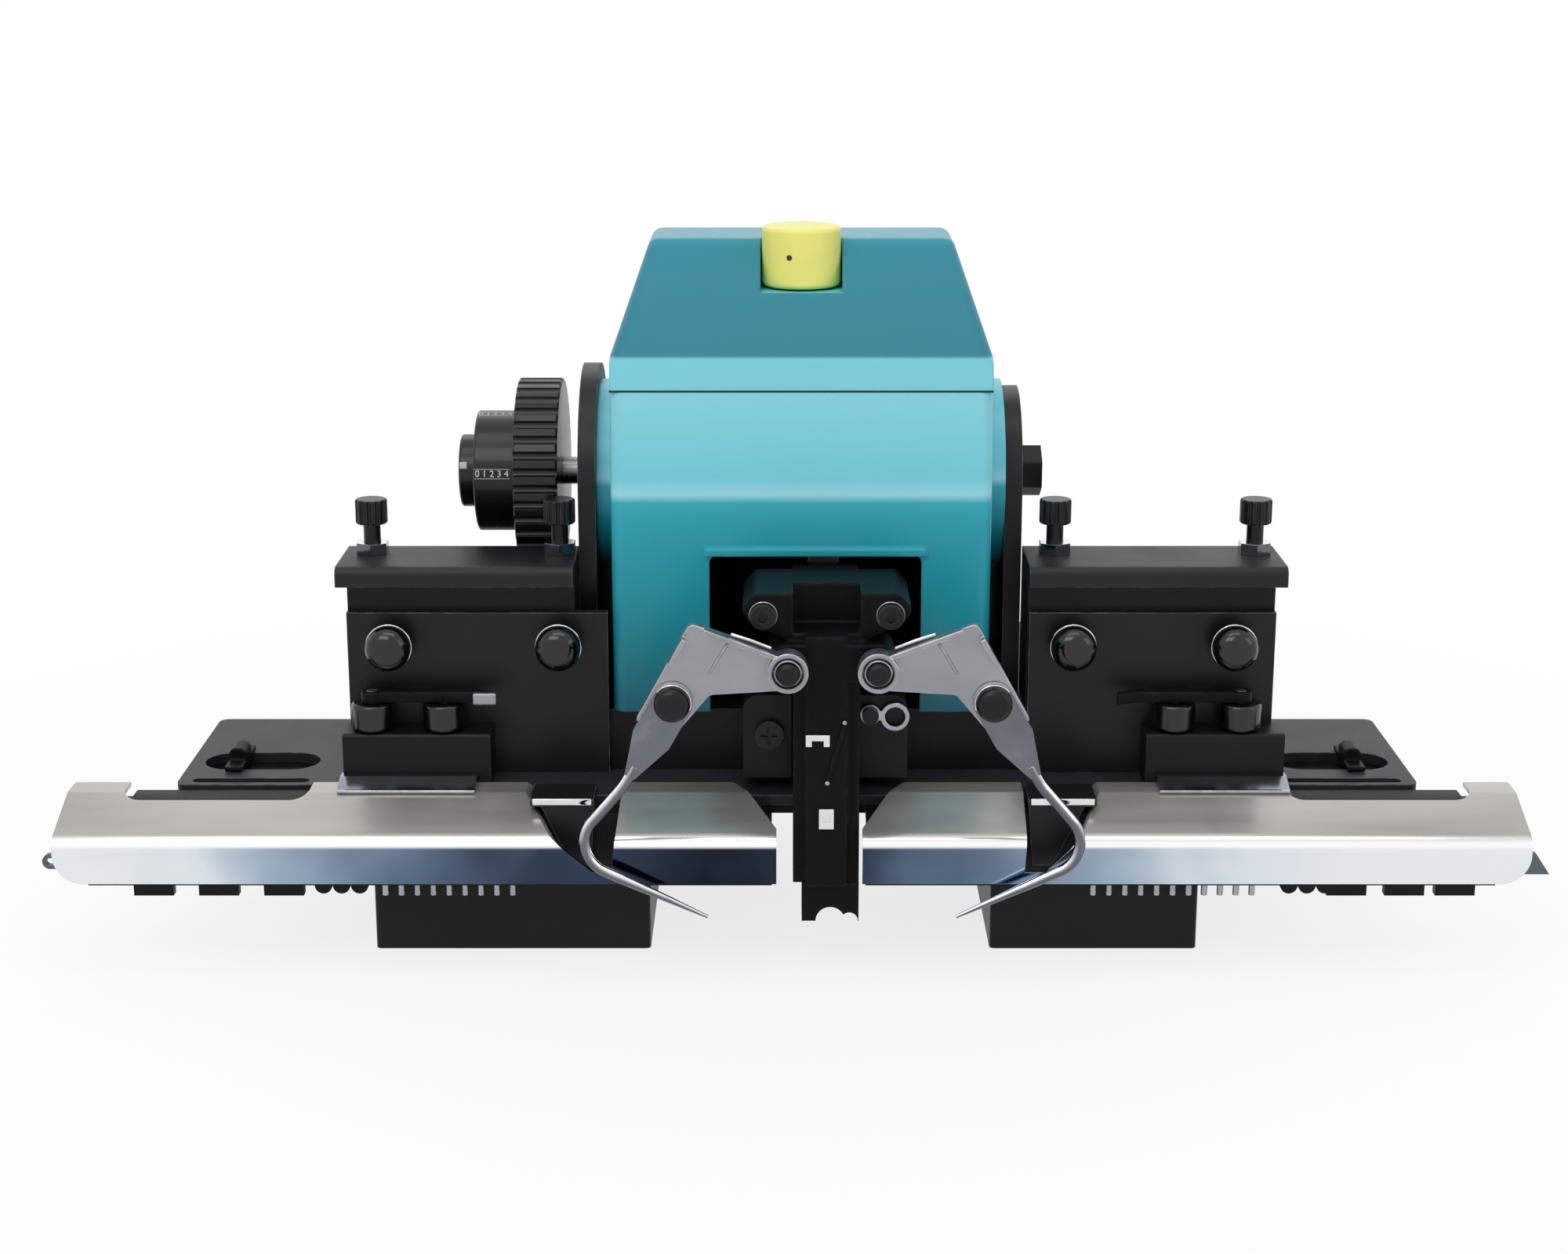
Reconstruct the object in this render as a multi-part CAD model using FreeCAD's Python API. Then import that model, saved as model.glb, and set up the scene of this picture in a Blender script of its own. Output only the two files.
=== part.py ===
import FreeCAD, Part
import math
import os

os.makedirs("parts", exist_ok=True)
Vector = FreeCAD.Vector

# Carriage of a flat knitting machine. Millimetres, +X right, +Y to the rear, +Z up.
# The origin is the centre of the foot bolts, on the surface that the feet stand on.

# General clearances
running_gap = 0.05
sliding_gap = 0.3
double_gap = 2 * sliding_gap
tiny = 0.001

# Shares of a head's height or radius: rounded edges and cross recesses
dome_share = 0.6
full_dome_share = 0.8
recess_share = 0.6

# Heights of the stack, from the floor up
foot_height = 28.0
frame_height = 14.0
plate_thickness = 3.0
block_height = 18.0
z_frame = foot_height
z_plate = z_frame + frame_height
z_deck = z_plate + plate_thickness
z_block = z_deck + block_height

# Feet and their tapped holes
left_foot_x = (-118.0, -41.0)
right_foot_x = (54.0, 112.0)
foot_y = (-45.0, 50.0)
foot_corner = 1.5
foot_bolt_half_x = 80.0
foot_bolt_half_y = 30.0
foot_bolt_radius = 2.5
foot_bolt_depth = 16.0

# Under frame
frame_slot_gap = (17.0, 23.0)
frame_arch_height = 9.0
frame_arch_inset = 1.0
frame_y = (-36.0, 70.0)

# Carriage plate: a centre part, two wings, a lever slot and a slit in each wing
plate_centre_x = (-130.0, 137.0)
plate_y = (-44.0, 77.0)
wing_half_x = 174.0
wing_y = (-35.0, 28.0)
wing_corner = 3.0
slot_end_wall = 4.0
slot_length = 33.0
slot_width = 16.0
slot_y = -13.4
slit_width = 4.0
slit_y = -31.0

# Head block
block_x = (-126.0, 134.0)
block_y = (-21.0, 75.0)
block_corner = 1.0

# Cam boxes, caps and front plates
left_box_x = (-126.0, -62.3)
right_box_x = (64.7, 134.0)
box_depth = 22.0
box_height = 36.6
cap_height = 5.6
cap_overhang_front = 5.0
cap_overhang_end = 2.5
cap_edge_radius = 2.4
front_plate_thickness = 3.0
left_front_x = (-126.0, -53.0)
right_front_x = (65.0, 134.0)
front_plate_top = 91.9

# Push knobs on the front plates
push_x = (-113.6, -66.4, 76.8, 121.6)
push_z = 83.6
push_head_radius = 6.3
push_head_length = 7.0
push_stem_radius = 2.5
push_travel = 5.0
push_stem_end_depth = 7.0
push_collar_radius = 3.2
push_collar_length = 1.8
push_chamber_radius = 3.6
push_chamber_depth = 16.0
push_spring_wire = 0.3
push_spring_pitch = 1.35
push_spring_turns = 6
push_spring_radius = 2.2

# Thumbscrews and lock nuts on the caps
thumb_x = (-120.3, -67.2, 73.1, 129.8)
thumb_y = -8.0
thumb_head_radius = 4.5
thumb_head_height = 7.0
thumb_stem_radius = 2.4
thumb_stem_depth = 15.0
thumb_top = 121.0
thumb_flutes = 12
thumb_flute_radius = 0.6
lock_nut_across_flats = 8.4
lock_nut_height = 3.4

# Roller blocks, rollers, axles and latch levers
left_roller_block_x = (-126.6, -85.4)
right_roller_block_x = (97.2, 135.8)
roller_block_front = -36.0
roller_block_height = 15.0
roller_x = (-118.7, -98.8, 105.5, 124.0)
roller_y = -30.4
roller_radius = 5.8
roller_height = 7.6
roller_edge = 1.0
axle_radius = 1.5
latch_height = 3.0
latch_half_width = 2.0
latch_length = 35.0
latch_tip_length = 6.0

# Cross shaft, dial and side plates
shaft_y = 25.0
shaft_z = 122.4
shaft_radius = 4.0
dial_cap_radius = 10.6
dial_cap_length = 5.0
drum_radius = 17.6
drum_length = 12.3
wheel_radius = 27.2
wheel_length = 12.7
wheel_inner_x = -68.2
wheel_flutes = 36
wheel_flute_radius = 1.3
dial_edge = 0.8
side_plate_thickness = 5.0
left_arch_radius = 31.6
right_arch_radius = 25.0
side_plate_hole_gap = 0.5
shaft_nut_across_flats = 13.0
shaft_nut_length = 7.0

# Rack and pinion
gear_module = 1.0
pinion_teeth = 12
gear_addendum = 0.8
gear_dedendum = 1.0
gear_slack = 0.85
gear_pressure = math.radians(20.0)
rack_depth = 8.0
rack_half_width = 4.5
rack_teeth = 11
pinion_half_width = 4.8

# Housing shell
housing_x = (-51.75, 54.05)
housing_wall = 2.5
housing_front = -24.0
housing_rear = 75.0
crease_z = 125.0
seam_z = 153.5
seam_front = -19.0
crease_radius = 25.0
housing_corner = 3.5
opening_x = (-24.4, 34.6)
opening_top = 108.3
opening_corner = 2.2
lip_height = 2.4
lip_depth = 1.2
boss_radius = 27.0
left_boss_length = 5.25
right_boss_length = 5.35
bush_wall = 2.5

# Top cover shell
skirt_height = 9.0
cover_top_z = 191.6
cover_top_x = (-41.6, 44.3)
cover_top_y = (16.0, 43.0)
cover_edge_radius = 3.5

# Selector knob, its pocket and spindle
knob_x = 1.3
knob_y = 13.7
knob_radius = 11.2
knob_sink = 13.1
knob_height = 17.0
knob_edge = 1.4
pocket_gap = 0.4
pocket_wall = 2.0
pocket_floor = 2.0
knob_lift = 0.5
spindle_radius = 3.0
spindle_boss_radius = 6.0
spindle_boss_length = 10.0
selector_cam_radius = 8.0
selector_cam_offset = 3.0
selector_cam_height = 4.0

# Chrome covers
cover_thickness = 1.2
cover_fold = -45.0
cover_front = -65.0
cover_slope = 0.3677
cover_bend_radius = 5.0
cover_bottom = 26.6
cover_end_corner = 8.0
left_cover_x = (-201.5, -5.7)
right_cover_x = (17.6, 198.5)
cover_inner_cut = 12.0
scallop_inner_x = 135.0
scallop_length = 51.0
scallop_depth = 12.0
scallop_corner = 5.0

# Notches in the chrome covers, and the holder plates that hang in them
left_notch_top = (-75.0, -48.5)
left_notch_low = (-55.5, -50.5)
right_notch_top = (62.5, 83.5)
right_notch_low = (61.5, 67.0)
notch_low_z = 30.0
holder_thickness = 3.0
holder_front = -54.0
holder_rear = -40.0
holder_lip = 2.0
holder_low_z = 28.0
left_holder_top = (-73.0, -55.6)
left_holder_neck = (-70.0, -55.6)
left_holder_low = (-62.0, -56.5)
right_holder_top = (63.2, 81.8)
right_holder_neck = (63.2, 78.5)
right_holder_low = (64.5, 70.0)

# Cover brackets
left_bracket_x = (-127.0, -89.0)
right_bracket_x = (100.0, 136.0)
bracket_gap = 0.2
bracket_height = 2.8
bracket_lip_height = 0.8
bracket_flat = 3.3
bracket_slope = 6.0
bracket_lip = 0.7

# Brush rails with lugs and pins
rail_inner_gap = 1.3
rail_outer_gap = 5.5
rail_front = -51.0
rail_wall = 3.0
rail_bottom = 21.0
lug_height = 3.0
left_lugs_x = (-178.0, -160.0, -142.0)
right_lugs_x = (152.0, 168.0, 182.0)
lug_length = 11.0
left_bumps_x = (-131.0, -126.0, -121.0)
right_bumps_x = (136.0, 141.0, 146.0)
bump_radius = 2.4
pin_radius = 0.9
pin_length = 3.2
pin_pitch = 4.4
left_pins_start = -114.0
left_pins_count = 9
right_pins_start = 82.0
right_pins_count = 11

# End fittings of the covers
loop_proud = 3.0
loop_lap = 9.5
loop_height = 4.2
loop_thickness = 1.6
loop_wire = 1.1
loop_z = 32.6
tab_proud = 5.3
tab_lap = 6.7
tab_height = 6.0
tab_z = 32.0

# Slot levers in the wings
slot_lever_places = (-23.0, 22.0)
slot_lever_flange = 2.4
slot_lever_lap = 0.5
slot_lever_half_y = 10.5
slot_lever_stem_x = 2.4
slot_lever_stem_y = 4.0
slot_lever_height = 5.0

# Centre slide
column_x = 7.8
column_half_x = 9.0
column_rear = -26.0
column_body_front = -46.0
column_body_z = (54.0, 106.0)
post_y = (-58.0, -46.0)
post_z = (24.6, 95.0)
post_rib_half_x = 5.6
post_rib_front = -62.0
post_foot_z = 13.7
post_foot_half_x = 7.8
post_foot_shift = 1.2
post_foot_inset = 1.0
foot_notch_radius = 4.0
foot_notch_side_radius = 2.4
foot_notch_side_x = 5.2
flange_reach = 3.0
flange_thickness = 4.0
flange_top = 90.0
tongue_half_x = 4.8
tongue_z = (90.0, 98.0)
gib_z = (48.0, 72.0)
gib_width = 13.5
gib_front = -38.0
gib_top_radius = 4.5
gib_screw_z = 61.0
gib_screw_radius = 4.0
gib_screw_height = 2.2
gib_screw_slot = 1.0

# Lobes of the slide, with their socket screws
lobe_y = (-58.0, -30.0)
lobe_top = 106.0
lobe_low_drop = 13.5
lobe_reach = 14.0
lobe_mid_drop = 7.5
lobe_edge = 2.0
lobe_screw_z = 100.0
lobe_screw_reach = 8.0
lobe_screw_radius = 3.4
lobe_screw_height = 2.4
socket_across_flats = 3.0
socket_depth = 1.6

# Bright clips on the slide
clip_height = 3.2
clip_half_x = 3.2
clip_z = 65.0
clip_depth = 1.2
latch_plate_half_x = 2.0
latch_plate_z = 44.5
latch_plate_height = 5.6

# Arm pivots, brackets, fingers
arm_mirror_x = 9.3
arm_pivot_reach = 11.9
arm_pivot_z = 87.7
pivot_boss_radius = 5.2
pivot_pin_radius = 2.5
pivot_shoulder_radius = 4.0
pivot_head_radius = 3.0
pivot_head_height = 2.0
bracket_thickness = 2.5
arm_gap = 3.8
eye_radius = 5.4
eye_inner_radius = 4.2
eye_depth = 3.2
arm_top_corner = (-28.5, 100.6)
arm_low_left = (-43.4, 73.5)
arm_low_right = (-33.9, 68.4)
arm_elbow = (-23.3, 81.0)
arm_corner_radius = 2.0
arm_edge_width = 1.2
arm_edge_depth = 3.0
torsion_wire = 0.35
torsion_pitch = 1.15
torsion_turns = 2.5
torsion_radius = 3.4

# Wire finger, in the left arm's plane
finger_head = (-33.2, 79.4)
finger_neck = (-44.7, 59.1)
finger_bend = (-62.5, 37.2)
finger_tip = (-24.2, 19.1)
finger_bend_radius = 9.0
finger_neck_radius = 14.0
finger_wire = 1.5
finger_tip_wire = 0.45
finger_tip_length = 26.0
finger_thickness = 2.5
finger_head_radius = 5.4
finger_travel = 3.0
clamp_stem_radius = 1.7
clamp_slot_gap = 0.1
clamp_head_radius = 4.8
clamp_head_height = 3.0

# Gate lever with its ring
gate_pivot_x = 20.2
gate_pivot_z = 67.0
gate_ring_x = 27.0
gate_ring_z = 66.4
gate_ring_radius = 4.0
gate_ring_wall = 1.2
gate_eye_radius = 2.8
gate_neck = 1.4
gate_thickness = 2.0
gate_pin_radius = 1.25
gate_head_radius = 2.3
gate_head_height = 1.4

# Values that several pieces share
slot_inner_x = wing_half_x - slot_end_wall - slot_length
slot_lever_x = (slot_lever_places[0] - slot_inner_x, slot_lever_places[1] + slot_inner_x)
knob_bottom = cover_top_z - knob_sink
pinion_radius = gear_module * pinion_teeth / 2
tooth_pitch = math.pi * gear_module
rack_line = shaft_y - pinion_radius
wheel_x = (wheel_inner_x - wheel_length, wheel_inner_x)
drum_x = (wheel_x[0] - drum_length, wheel_x[0])
dial_cap_x = (drum_x[0] - dial_cap_length, drum_x[0])
left_boss_x = (housing_x[0] - left_boss_length, housing_x[0])
right_boss_x = (housing_x[1], housing_x[1] + right_boss_length)
left_side_x = (left_boss_x[0] - side_plate_thickness, left_boss_x[0])
right_side_x = (right_boss_x[1], right_boss_x[1] + side_plate_thickness)
shaft_nut_x = (right_side_x[1] + sliding_gap, right_side_x[1] + sliding_gap + shaft_nut_length)
box_y = (block_y[0], block_y[0] + box_depth)
box_z = (z_block, z_block + box_height)
cap_y = (box_y[0] - cap_overhang_front, box_y[1])
cap_z = (box_z[1], box_z[1] + cap_height)
front_plate_y = (block_y[0] - front_plate_thickness, block_y[0])
roller_block_y = (roller_block_front, front_plate_y[0])
roller_block_z = (z_deck, z_deck + roller_block_height)
roller_z = (roller_block_z[1] + sliding_gap, roller_block_z[1] + sliding_gap + roller_height)
latch_z = (roller_z[1] + sliding_gap, roller_z[1] + sliding_gap + latch_height)
cover_top_face = z_deck + cover_thickness
cover_rear = roller_block_front - sliding_gap
pocket_radius = knob_radius + pocket_gap
pocket_z = knob_bottom - knob_lift
column_sides = (column_x - column_half_x, column_x + column_half_x)
arm_left_x = arm_mirror_x - arm_pivot_reach
bracket_y = (post_rib_front - arm_gap - bracket_thickness, post_rib_front - arm_gap)
finger_y = (bracket_y[0] - sliding_gap - finger_thickness, bracket_y[0] - sliding_gap)
finger_mid_y = (finger_y[0] + finger_y[1]) / 2


def block(x, y, z):
    corner = Vector(x[0], y[0], z[0])
    return Part.makeBox(x[1] - x[0], y[1] - y[0], z[1] - z[0], corner)


def rod_x(y, z, radius, x):
    return Part.makeCylinder(radius, x[1] - x[0], Vector(x[0], y, z), Vector(1, 0, 0))


def rod_y(x, z, radius, y):
    return Part.makeCylinder(radius, y[1] - y[0], Vector(x, y[0], z), Vector(0, 1, 0))


def rod_z(x, y, radius, z):
    return Part.makeCylinder(radius, z[1] - z[0], Vector(x, y, z[0]), Vector(0, 0, 1))


def face_of(points):
    return Part.Face(Part.makePolygon(points + points[:1]))


def prism_x(outline, x):
    points = [Vector(x[0], y, z) for y, z in outline]
    return face_of(points).extrude(Vector(x[1] - x[0], 0, 0))


def prism_y(outline, y):
    points = [Vector(px, y[0], pz) for px, pz in outline]
    return face_of(points).extrude(Vector(0, y[1] - y[0], 0))


def prism_z(outline, z):
    points = [Vector(px, py, z[0]) for px, py in outline]
    return face_of(points).extrude(Vector(0, 0, z[1] - z[0]))


def regular_outline(centre, across_flats, count):
    radius = across_flats / 2 / math.cos(math.pi / count)
    angles = [2 * math.pi * (i + 0.5) / count for i in range(count)]
    return [(centre[0] + radius * math.cos(a), centre[1] + radius * math.sin(a)) for a in angles]


def join(first, *others):
    return first.multiFuse(list(others)).removeSplitter()


def round_edges(shape, radius, pick):
    edges = [edge for edge in shape.Edges if pick(edge)]
    return shape.makeFillet(radius, edges)


def upright(edge):
    box = edge.BoundBox
    return box.XLength < tiny and box.YLength < tiny


def along_x(edge):
    box = edge.BoundBox
    return box.YLength < tiny and box.ZLength < tiny


def along_y(edge):
    box = edge.BoundBox
    return box.XLength < tiny and box.ZLength < tiny


def obround(x, y_centre, width, z):
    radius = width / 2
    middle = block((x[0] + radius, x[1] - radius), (y_centre - radius, y_centre + radius), z)
    ends = [rod_z(x[0] + radius, y_centre, radius, z), rod_z(x[1] - radius, y_centre, radius, z)]
    return join(middle, *ends)


def sign_range(side, inner, length):
    if side < 0:
        return (-inner - length, -inner)
    return (inner, inner + length)


def save(name, shape):
    shape.exportStep("parts/" + name + ".step")


def save_group(name, shapes):
    save(name, Part.makeCompound(shapes))


# Biarc between two points with given directions: two arcs that meet smoothly
def biarc(start, start_dir, end, end_dir):
    chord = end - start
    total = start_dir + end_dir
    turn = 2 * (1 - start_dir.dot(end_dir))
    reach = (-chord.dot(total) + math.sqrt(chord.dot(total) ** 2 + turn * chord.dot(chord))) / turn
    first_corner = start + start_dir * reach
    last_corner = end - end_dir * reach
    middle = (first_corner + last_corner) * 0.5
    return [arc_with_corner(start, first_corner, middle), arc_with_corner(middle, last_corner, end)]


def arc_with_corner(start, corner, end):
    middle = (start + end) * 0.5
    half_chord = (end - start).Length / 2
    rise = corner - middle
    slope = math.atan2(rise.Length, half_chord)
    crown = middle + rise * (half_chord * math.tan(slope / 2) / rise.Length)
    return Part.Arc(start, crown, end).toShape()


def pipe(edges, radius):
    first = edges[0]
    ring = Part.Circle(first.valueAt(first.FirstParameter), first.tangentAt(first.FirstParameter), radius)
    maker = Part.BRepOffsetAPI.MakePipeShell(Part.Wire(edges))
    maker.add(Part.Wire([ring.toShape()]))
    maker.build()
    maker.makeSolid()
    return maker.shape()


# Coil spring round an axis along Y, in quarter turns
def coil(x, z, y_start, radius, wire, pitch, turns):
    rise = pitch / (2 * math.pi)
    steps = int(round(turns * 4))

    def point(angle):
        return Vector(x + radius * math.cos(angle), y_start + rise * angle, z + radius * math.sin(angle))

    def direction(angle):
        return Vector(-radius * math.sin(angle), rise, radius * math.cos(angle)).normalize()

    edges = []
    for i in range(steps):
        a = i * math.pi / 2
        b = a + math.pi / 2
        edges = edges + biarc(point(a), direction(a), point(b), direction(b))
    samples = [edge.valueAt(edge.FirstParameter) for edge in edges]
    turn_points = len(samples) // max(1, int(round(turns)))
    apart = [(samples[i] - samples[j]).Length for i in range(len(samples)) for j in range(i)
             if i - j >= turn_points // 2]
    print("coil self gap", round(min(apart) - 2 * wire, 3))
    return pipe(edges, wire)


# Path of straight runs with a tangent arc at each inner point
def rounded_path(points, radii):
    edges = []
    start = points[0]
    for i in range(1, len(points) - 1):
        back = (points[i - 1] - points[i]).normalize()
        ahead = (points[i + 1] - points[i]).normalize()
        half = back.getAngle(ahead) / 2
        reach = radii[i - 1] / math.tan(half)
        arc_start = points[i] + back * reach
        arc_end = points[i] + ahead * reach
        edges.append(Part.LineSegment(start, arc_start).toShape())
        edges.append(arc_with_corner(arc_start, points[i], arc_end))
        start = arc_end
    edges.append(Part.LineSegment(start, points[-1]).toShape())
    return edges


# Base

def make_feet():
    feet = []
    for span, bolt_x in ((left_foot_x, -foot_bolt_half_x), (right_foot_x, foot_bolt_half_x)):
        foot = round_edges(block(span, foot_y, (0, foot_height)), foot_corner, upright)
        for bolt_y in (-foot_bolt_half_y, foot_bolt_half_y):
            foot = foot.cut(rod_z(bolt_x, bolt_y, foot_bolt_radius, (0, foot_bolt_depth)))
        feet.append(foot)
    return feet


def make_under_frame():
    span = (frame_slot_gap[0] - slot_inner_x, slot_inner_x - frame_slot_gap[1])
    bridge = round_edges(block(span, frame_y, (z_frame, z_plate)), foot_corner, upright)
    arch_x = (left_foot_x[1] + frame_arch_inset, right_foot_x[0] - frame_arch_inset)
    return bridge.cut(block(arch_x, frame_y, (z_frame, z_frame + frame_arch_height)))


def make_carriage_plate():
    height = (z_plate, z_deck)
    wings = block((-wing_half_x, wing_half_x), wing_y, height)
    wings = round_edges(wings, wing_corner, upright)
    plate = join(block(plate_centre_x, plate_y, height), wings)
    for side in (-1, 1):
        slot_x = sign_range(side, slot_inner_x, slot_length)
        plate = plate.cut(obround(slot_x, slot_y, slot_width, height))
        plate = plate.cut(obround(slot_x, slit_y, slit_width, height))
    return plate


def make_head_block():
    return round_edges(block(block_x, block_y, (z_deck, z_block)), block_corner, upright)


def push_chamber(x):
    return rod_y(x, push_z, push_chamber_radius, (box_y[0], box_y[0] + push_chamber_depth))


def thumb_bore(x):
    low = cap_z[1] - thumb_stem_depth - sliding_gap
    return rod_z(x, thumb_y, thumb_stem_radius + running_gap, (low, cap_z[1]))


def make_cam_boxes():
    boxes = []
    left = (left_box_x, push_x[:2], thumb_x[:2])
    right = (right_box_x, push_x[2:], thumb_x[2:])
    for span, pushes, thumbs in (left, right):
        body = block(span, box_y, box_z)
        cuts = [push_chamber(x) for x in pushes] + [thumb_bore(x) for x in thumbs]
        boxes.append(body.cut(Part.makeCompound(cuts)))
    return boxes


def make_box_caps():
    caps = []
    left_span = (left_box_x[0] - cap_overhang_end, left_box_x[1])
    right_span = (right_box_x[0], right_box_x[1] + cap_overhang_end)
    for span, thumbs in ((left_span, thumb_x[:2]), (right_span, thumb_x[2:])):
        cap = block(span, cap_y, cap_z)

        def front_top(edge):
            centre = edge.CenterOfMass
            return along_x(edge) and centre.y < box_y[0] and centre.z > cap_z[1] - tiny

        cap = round_edges(cap, cap_edge_radius, front_top)
        caps.append(cap.cut(Part.makeCompound([thumb_bore(x) for x in thumbs])))
    return caps


def make_front_plates():
    plates = []
    for span, pushes in ((left_front_x, push_x[:2]), (right_front_x, push_x[2:])):
        plate = block(span, front_plate_y, (z_deck, front_plate_top))
        for x in pushes:
            plate = plate.cut(rod_y(x, push_z, push_stem_radius + running_gap, front_plate_y))
        plates.append(plate)
    return plates


def housing_outline(inset):
    front = housing_front + inset
    rear = housing_rear - inset
    slope = [(front, z_block), (front, crease_z), (seam_front + inset, seam_z)]
    return slope + [(rear, seam_z), (rear, z_block)]


def make_lower_housing():
    def at_crease(edge):
        return along_x(edge) and abs(edge.CenterOfMass.z - crease_z) < tiny

    def front_upright(edge):
        box = edge.BoundBox
        return box.XLength < tiny and box.ZLength > tiny and edge.CenterOfMass.y < 0

    def lip_front(edge):
        centre = edge.CenterOfMass
        return along_x(edge) and centre.y < housing_front - tiny and centre.z > opening_top + tiny

    outer = prism_x(housing_outline(0), housing_x)
    outer = round_edges(outer, crease_radius, at_crease)
    outer = round_edges(outer, housing_corner, front_upright)
    inner_x = (housing_x[0] + housing_wall, housing_x[1] - housing_wall)
    shell = outer.cut(prism_x(housing_outline(housing_wall), inner_x))
    lip_x = (opening_x[0] - lip_depth, opening_x[1] + lip_depth)
    lip = block(lip_x, (housing_front - lip_depth, housing_front), (opening_top, opening_top + lip_height))
    lip = round_edges(lip, lip_depth * full_dome_share, lip_front)
    bosses = [rod_x(shaft_y, shaft_z, boss_radius, span) for span in (left_boss_x, right_boss_x)]
    shell = join(shell, lip, *bosses)
    window = block(opening_x, (housing_front - lip_depth, 0), (z_block, opening_top))
    window = round_edges(window, opening_corner, lambda e: along_y(e) and e.CenterOfMass.z > z_block + tiny)
    bore = rod_x(shaft_y, shaft_z, shaft_radius + bush_wall, (left_boss_x[0], right_boss_x[1]))
    return shell.cut(Part.makeCompound([window, bore]))


def cover_section(inset, z, x, y):
    spans = (x[0] + inset, x[1] - inset, y[0] + inset, y[1] - inset)
    points = [Vector(spans[0], spans[2], z), Vector(spans[1], spans[2], z)]
    points = points + [Vector(spans[1], spans[3], z), Vector(spans[0], spans[3], z)]
    return Part.makePolygon(points + points[:1])


def cover_loft(inset):
    lean = (seam_front - housing_front) / (seam_z - crease_z)
    skirt_top = seam_z + skirt_height
    skirt_front = seam_front + lean * skirt_height
    sections = [cover_section(inset, seam_z, housing_x, (seam_front, housing_rear)),
                cover_section(inset, skirt_top - inset / 2, housing_x, (skirt_front, housing_rear)),
                cover_section(inset, cover_top_z - inset, cover_top_x, cover_top_y)]
    return Part.makeLoft(sections, True, True)


# Round behind the knob and open towards the front slope
def open_pocket(radius, z):
    mouth = block((knob_x - radius, knob_x + radius), (seam_front, knob_y), z)
    return join(mouth, rod_z(knob_x, knob_y, radius, z))


def make_top_cover():
    def upper(edge):
        return edge.BoundBox.ZMax > seam_z + skirt_height + tiny

    outer = round_edges(cover_loft(0), cover_edge_radius, upper)
    shell = outer.cut(cover_loft(housing_wall))
    cup = open_pocket(pocket_radius + pocket_wall, (pocket_z - pocket_floor, cover_top_z))
    boss_low = pocket_z - pocket_floor - spindle_boss_length
    boss = rod_z(knob_x, knob_y, spindle_boss_radius, (boss_low, pocket_z - pocket_floor))
    shell = join(shell, cup.common(outer), boss.common(outer))
    pocket = open_pocket(pocket_radius, (pocket_z, cover_top_z + pocket_wall))
    bore = rod_z(knob_x, knob_y, spindle_radius + running_gap, (boss_low, pocket_z))
    return shell.cut(Part.makeCompound([pocket, bore]))


def side_plate(radius, x):
    arch = rod_x(shaft_y, shaft_z, radius, x)
    stand = block(x, (shaft_y - radius, shaft_y + radius), (z_block, shaft_z))
    hole = rod_x(shaft_y, shaft_z, shaft_radius + side_plate_hole_gap, x)
    return join(arch, stand).cut(hole)


def make_shaft_bushes():
    bushes = []
    left_x = (left_boss_x[0], housing_x[0] + housing_wall)
    right_x = (housing_x[1] - housing_wall, right_boss_x[1])
    for span in (left_x, right_x):
        bush = rod_x(shaft_y, shaft_z, shaft_radius + bush_wall, span)
        bushes.append(bush.cut(rod_x(shaft_y, shaft_z, shaft_radius + running_gap, span)))
    return bushes


def make_chrome_cover(span, inner_side, notch_top, notch_low):
    drop = cover_thickness * math.sqrt(1 + cover_slope ** 2)
    front_inside = cover_front + cover_thickness
    fold_inside = cover_fold + (drop - cover_thickness) / cover_slope

    def slope_z(y):
        return cover_top_face + cover_slope * (y - cover_fold)

    def bend_edge(y):
        def pick(edge):
            centre = edge.CenterOfMass
            return along_x(edge) and abs(centre.y - y) < tiny and centre.z > cover_bottom + tiny
        return pick

    def end_corner(edge):
        centre = edge.CenterOfMass
        return along_y(edge) and abs(centre.x - outer_x) < tiny and centre.z < cover_bottom + tiny

    outer_face = [(cover_rear, cover_top_face), (cover_fold, cover_top_face),
                  (cover_front, slope_z(cover_front)), (cover_front, cover_bottom)]
    inner_face = [(front_inside, cover_bottom), (front_inside, slope_z(front_inside) - drop),
                  (fold_inside, z_deck), (cover_rear, z_deck)]
    cover = prism_x(outer_face + inner_face, span)
    cover = round_edges(cover, cover_bend_radius, bend_edge(cover_front))
    cover = round_edges(cover, cover_bend_radius - cover_thickness, bend_edge(front_inside))
    outer_x = span[0] if inner_side > 0 else span[1]
    cover = round_edges(cover, cover_end_corner, end_corner)
    inner_x = span[1] if inner_side > 0 else span[0]
    plan = [(inner_x, cover_front + cover_bend_radius), (inner_x, cover_rear),
            (inner_x - inner_side * cover_inner_cut, cover_rear)]
    chamfer = prism_z(plan, (z_plate - cover_bend_radius, cover_top_face))
    scallop_x = sign_range(-inner_side, scallop_inner_x, scallop_length)
    scallop = block(scallop_x, (cover_rear - scallop_depth, cover_rear), (z_plate, cover_top_face))
    scallop = round_edges(scallop, scallop_corner, lambda e: upright(e)
                          and e.CenterOfMass.y < cover_rear - tiny)
    notch = prism_y([(notch_top[0], cover_top_face), (notch_top[1], cover_top_face),
                     (notch_low[1], notch_low_z), (notch_low[0], notch_low_z)], (cover_front, cover_rear))
    return cover.cut(Part.makeCompound([chamfer, scallop])).cut(notch)


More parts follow.
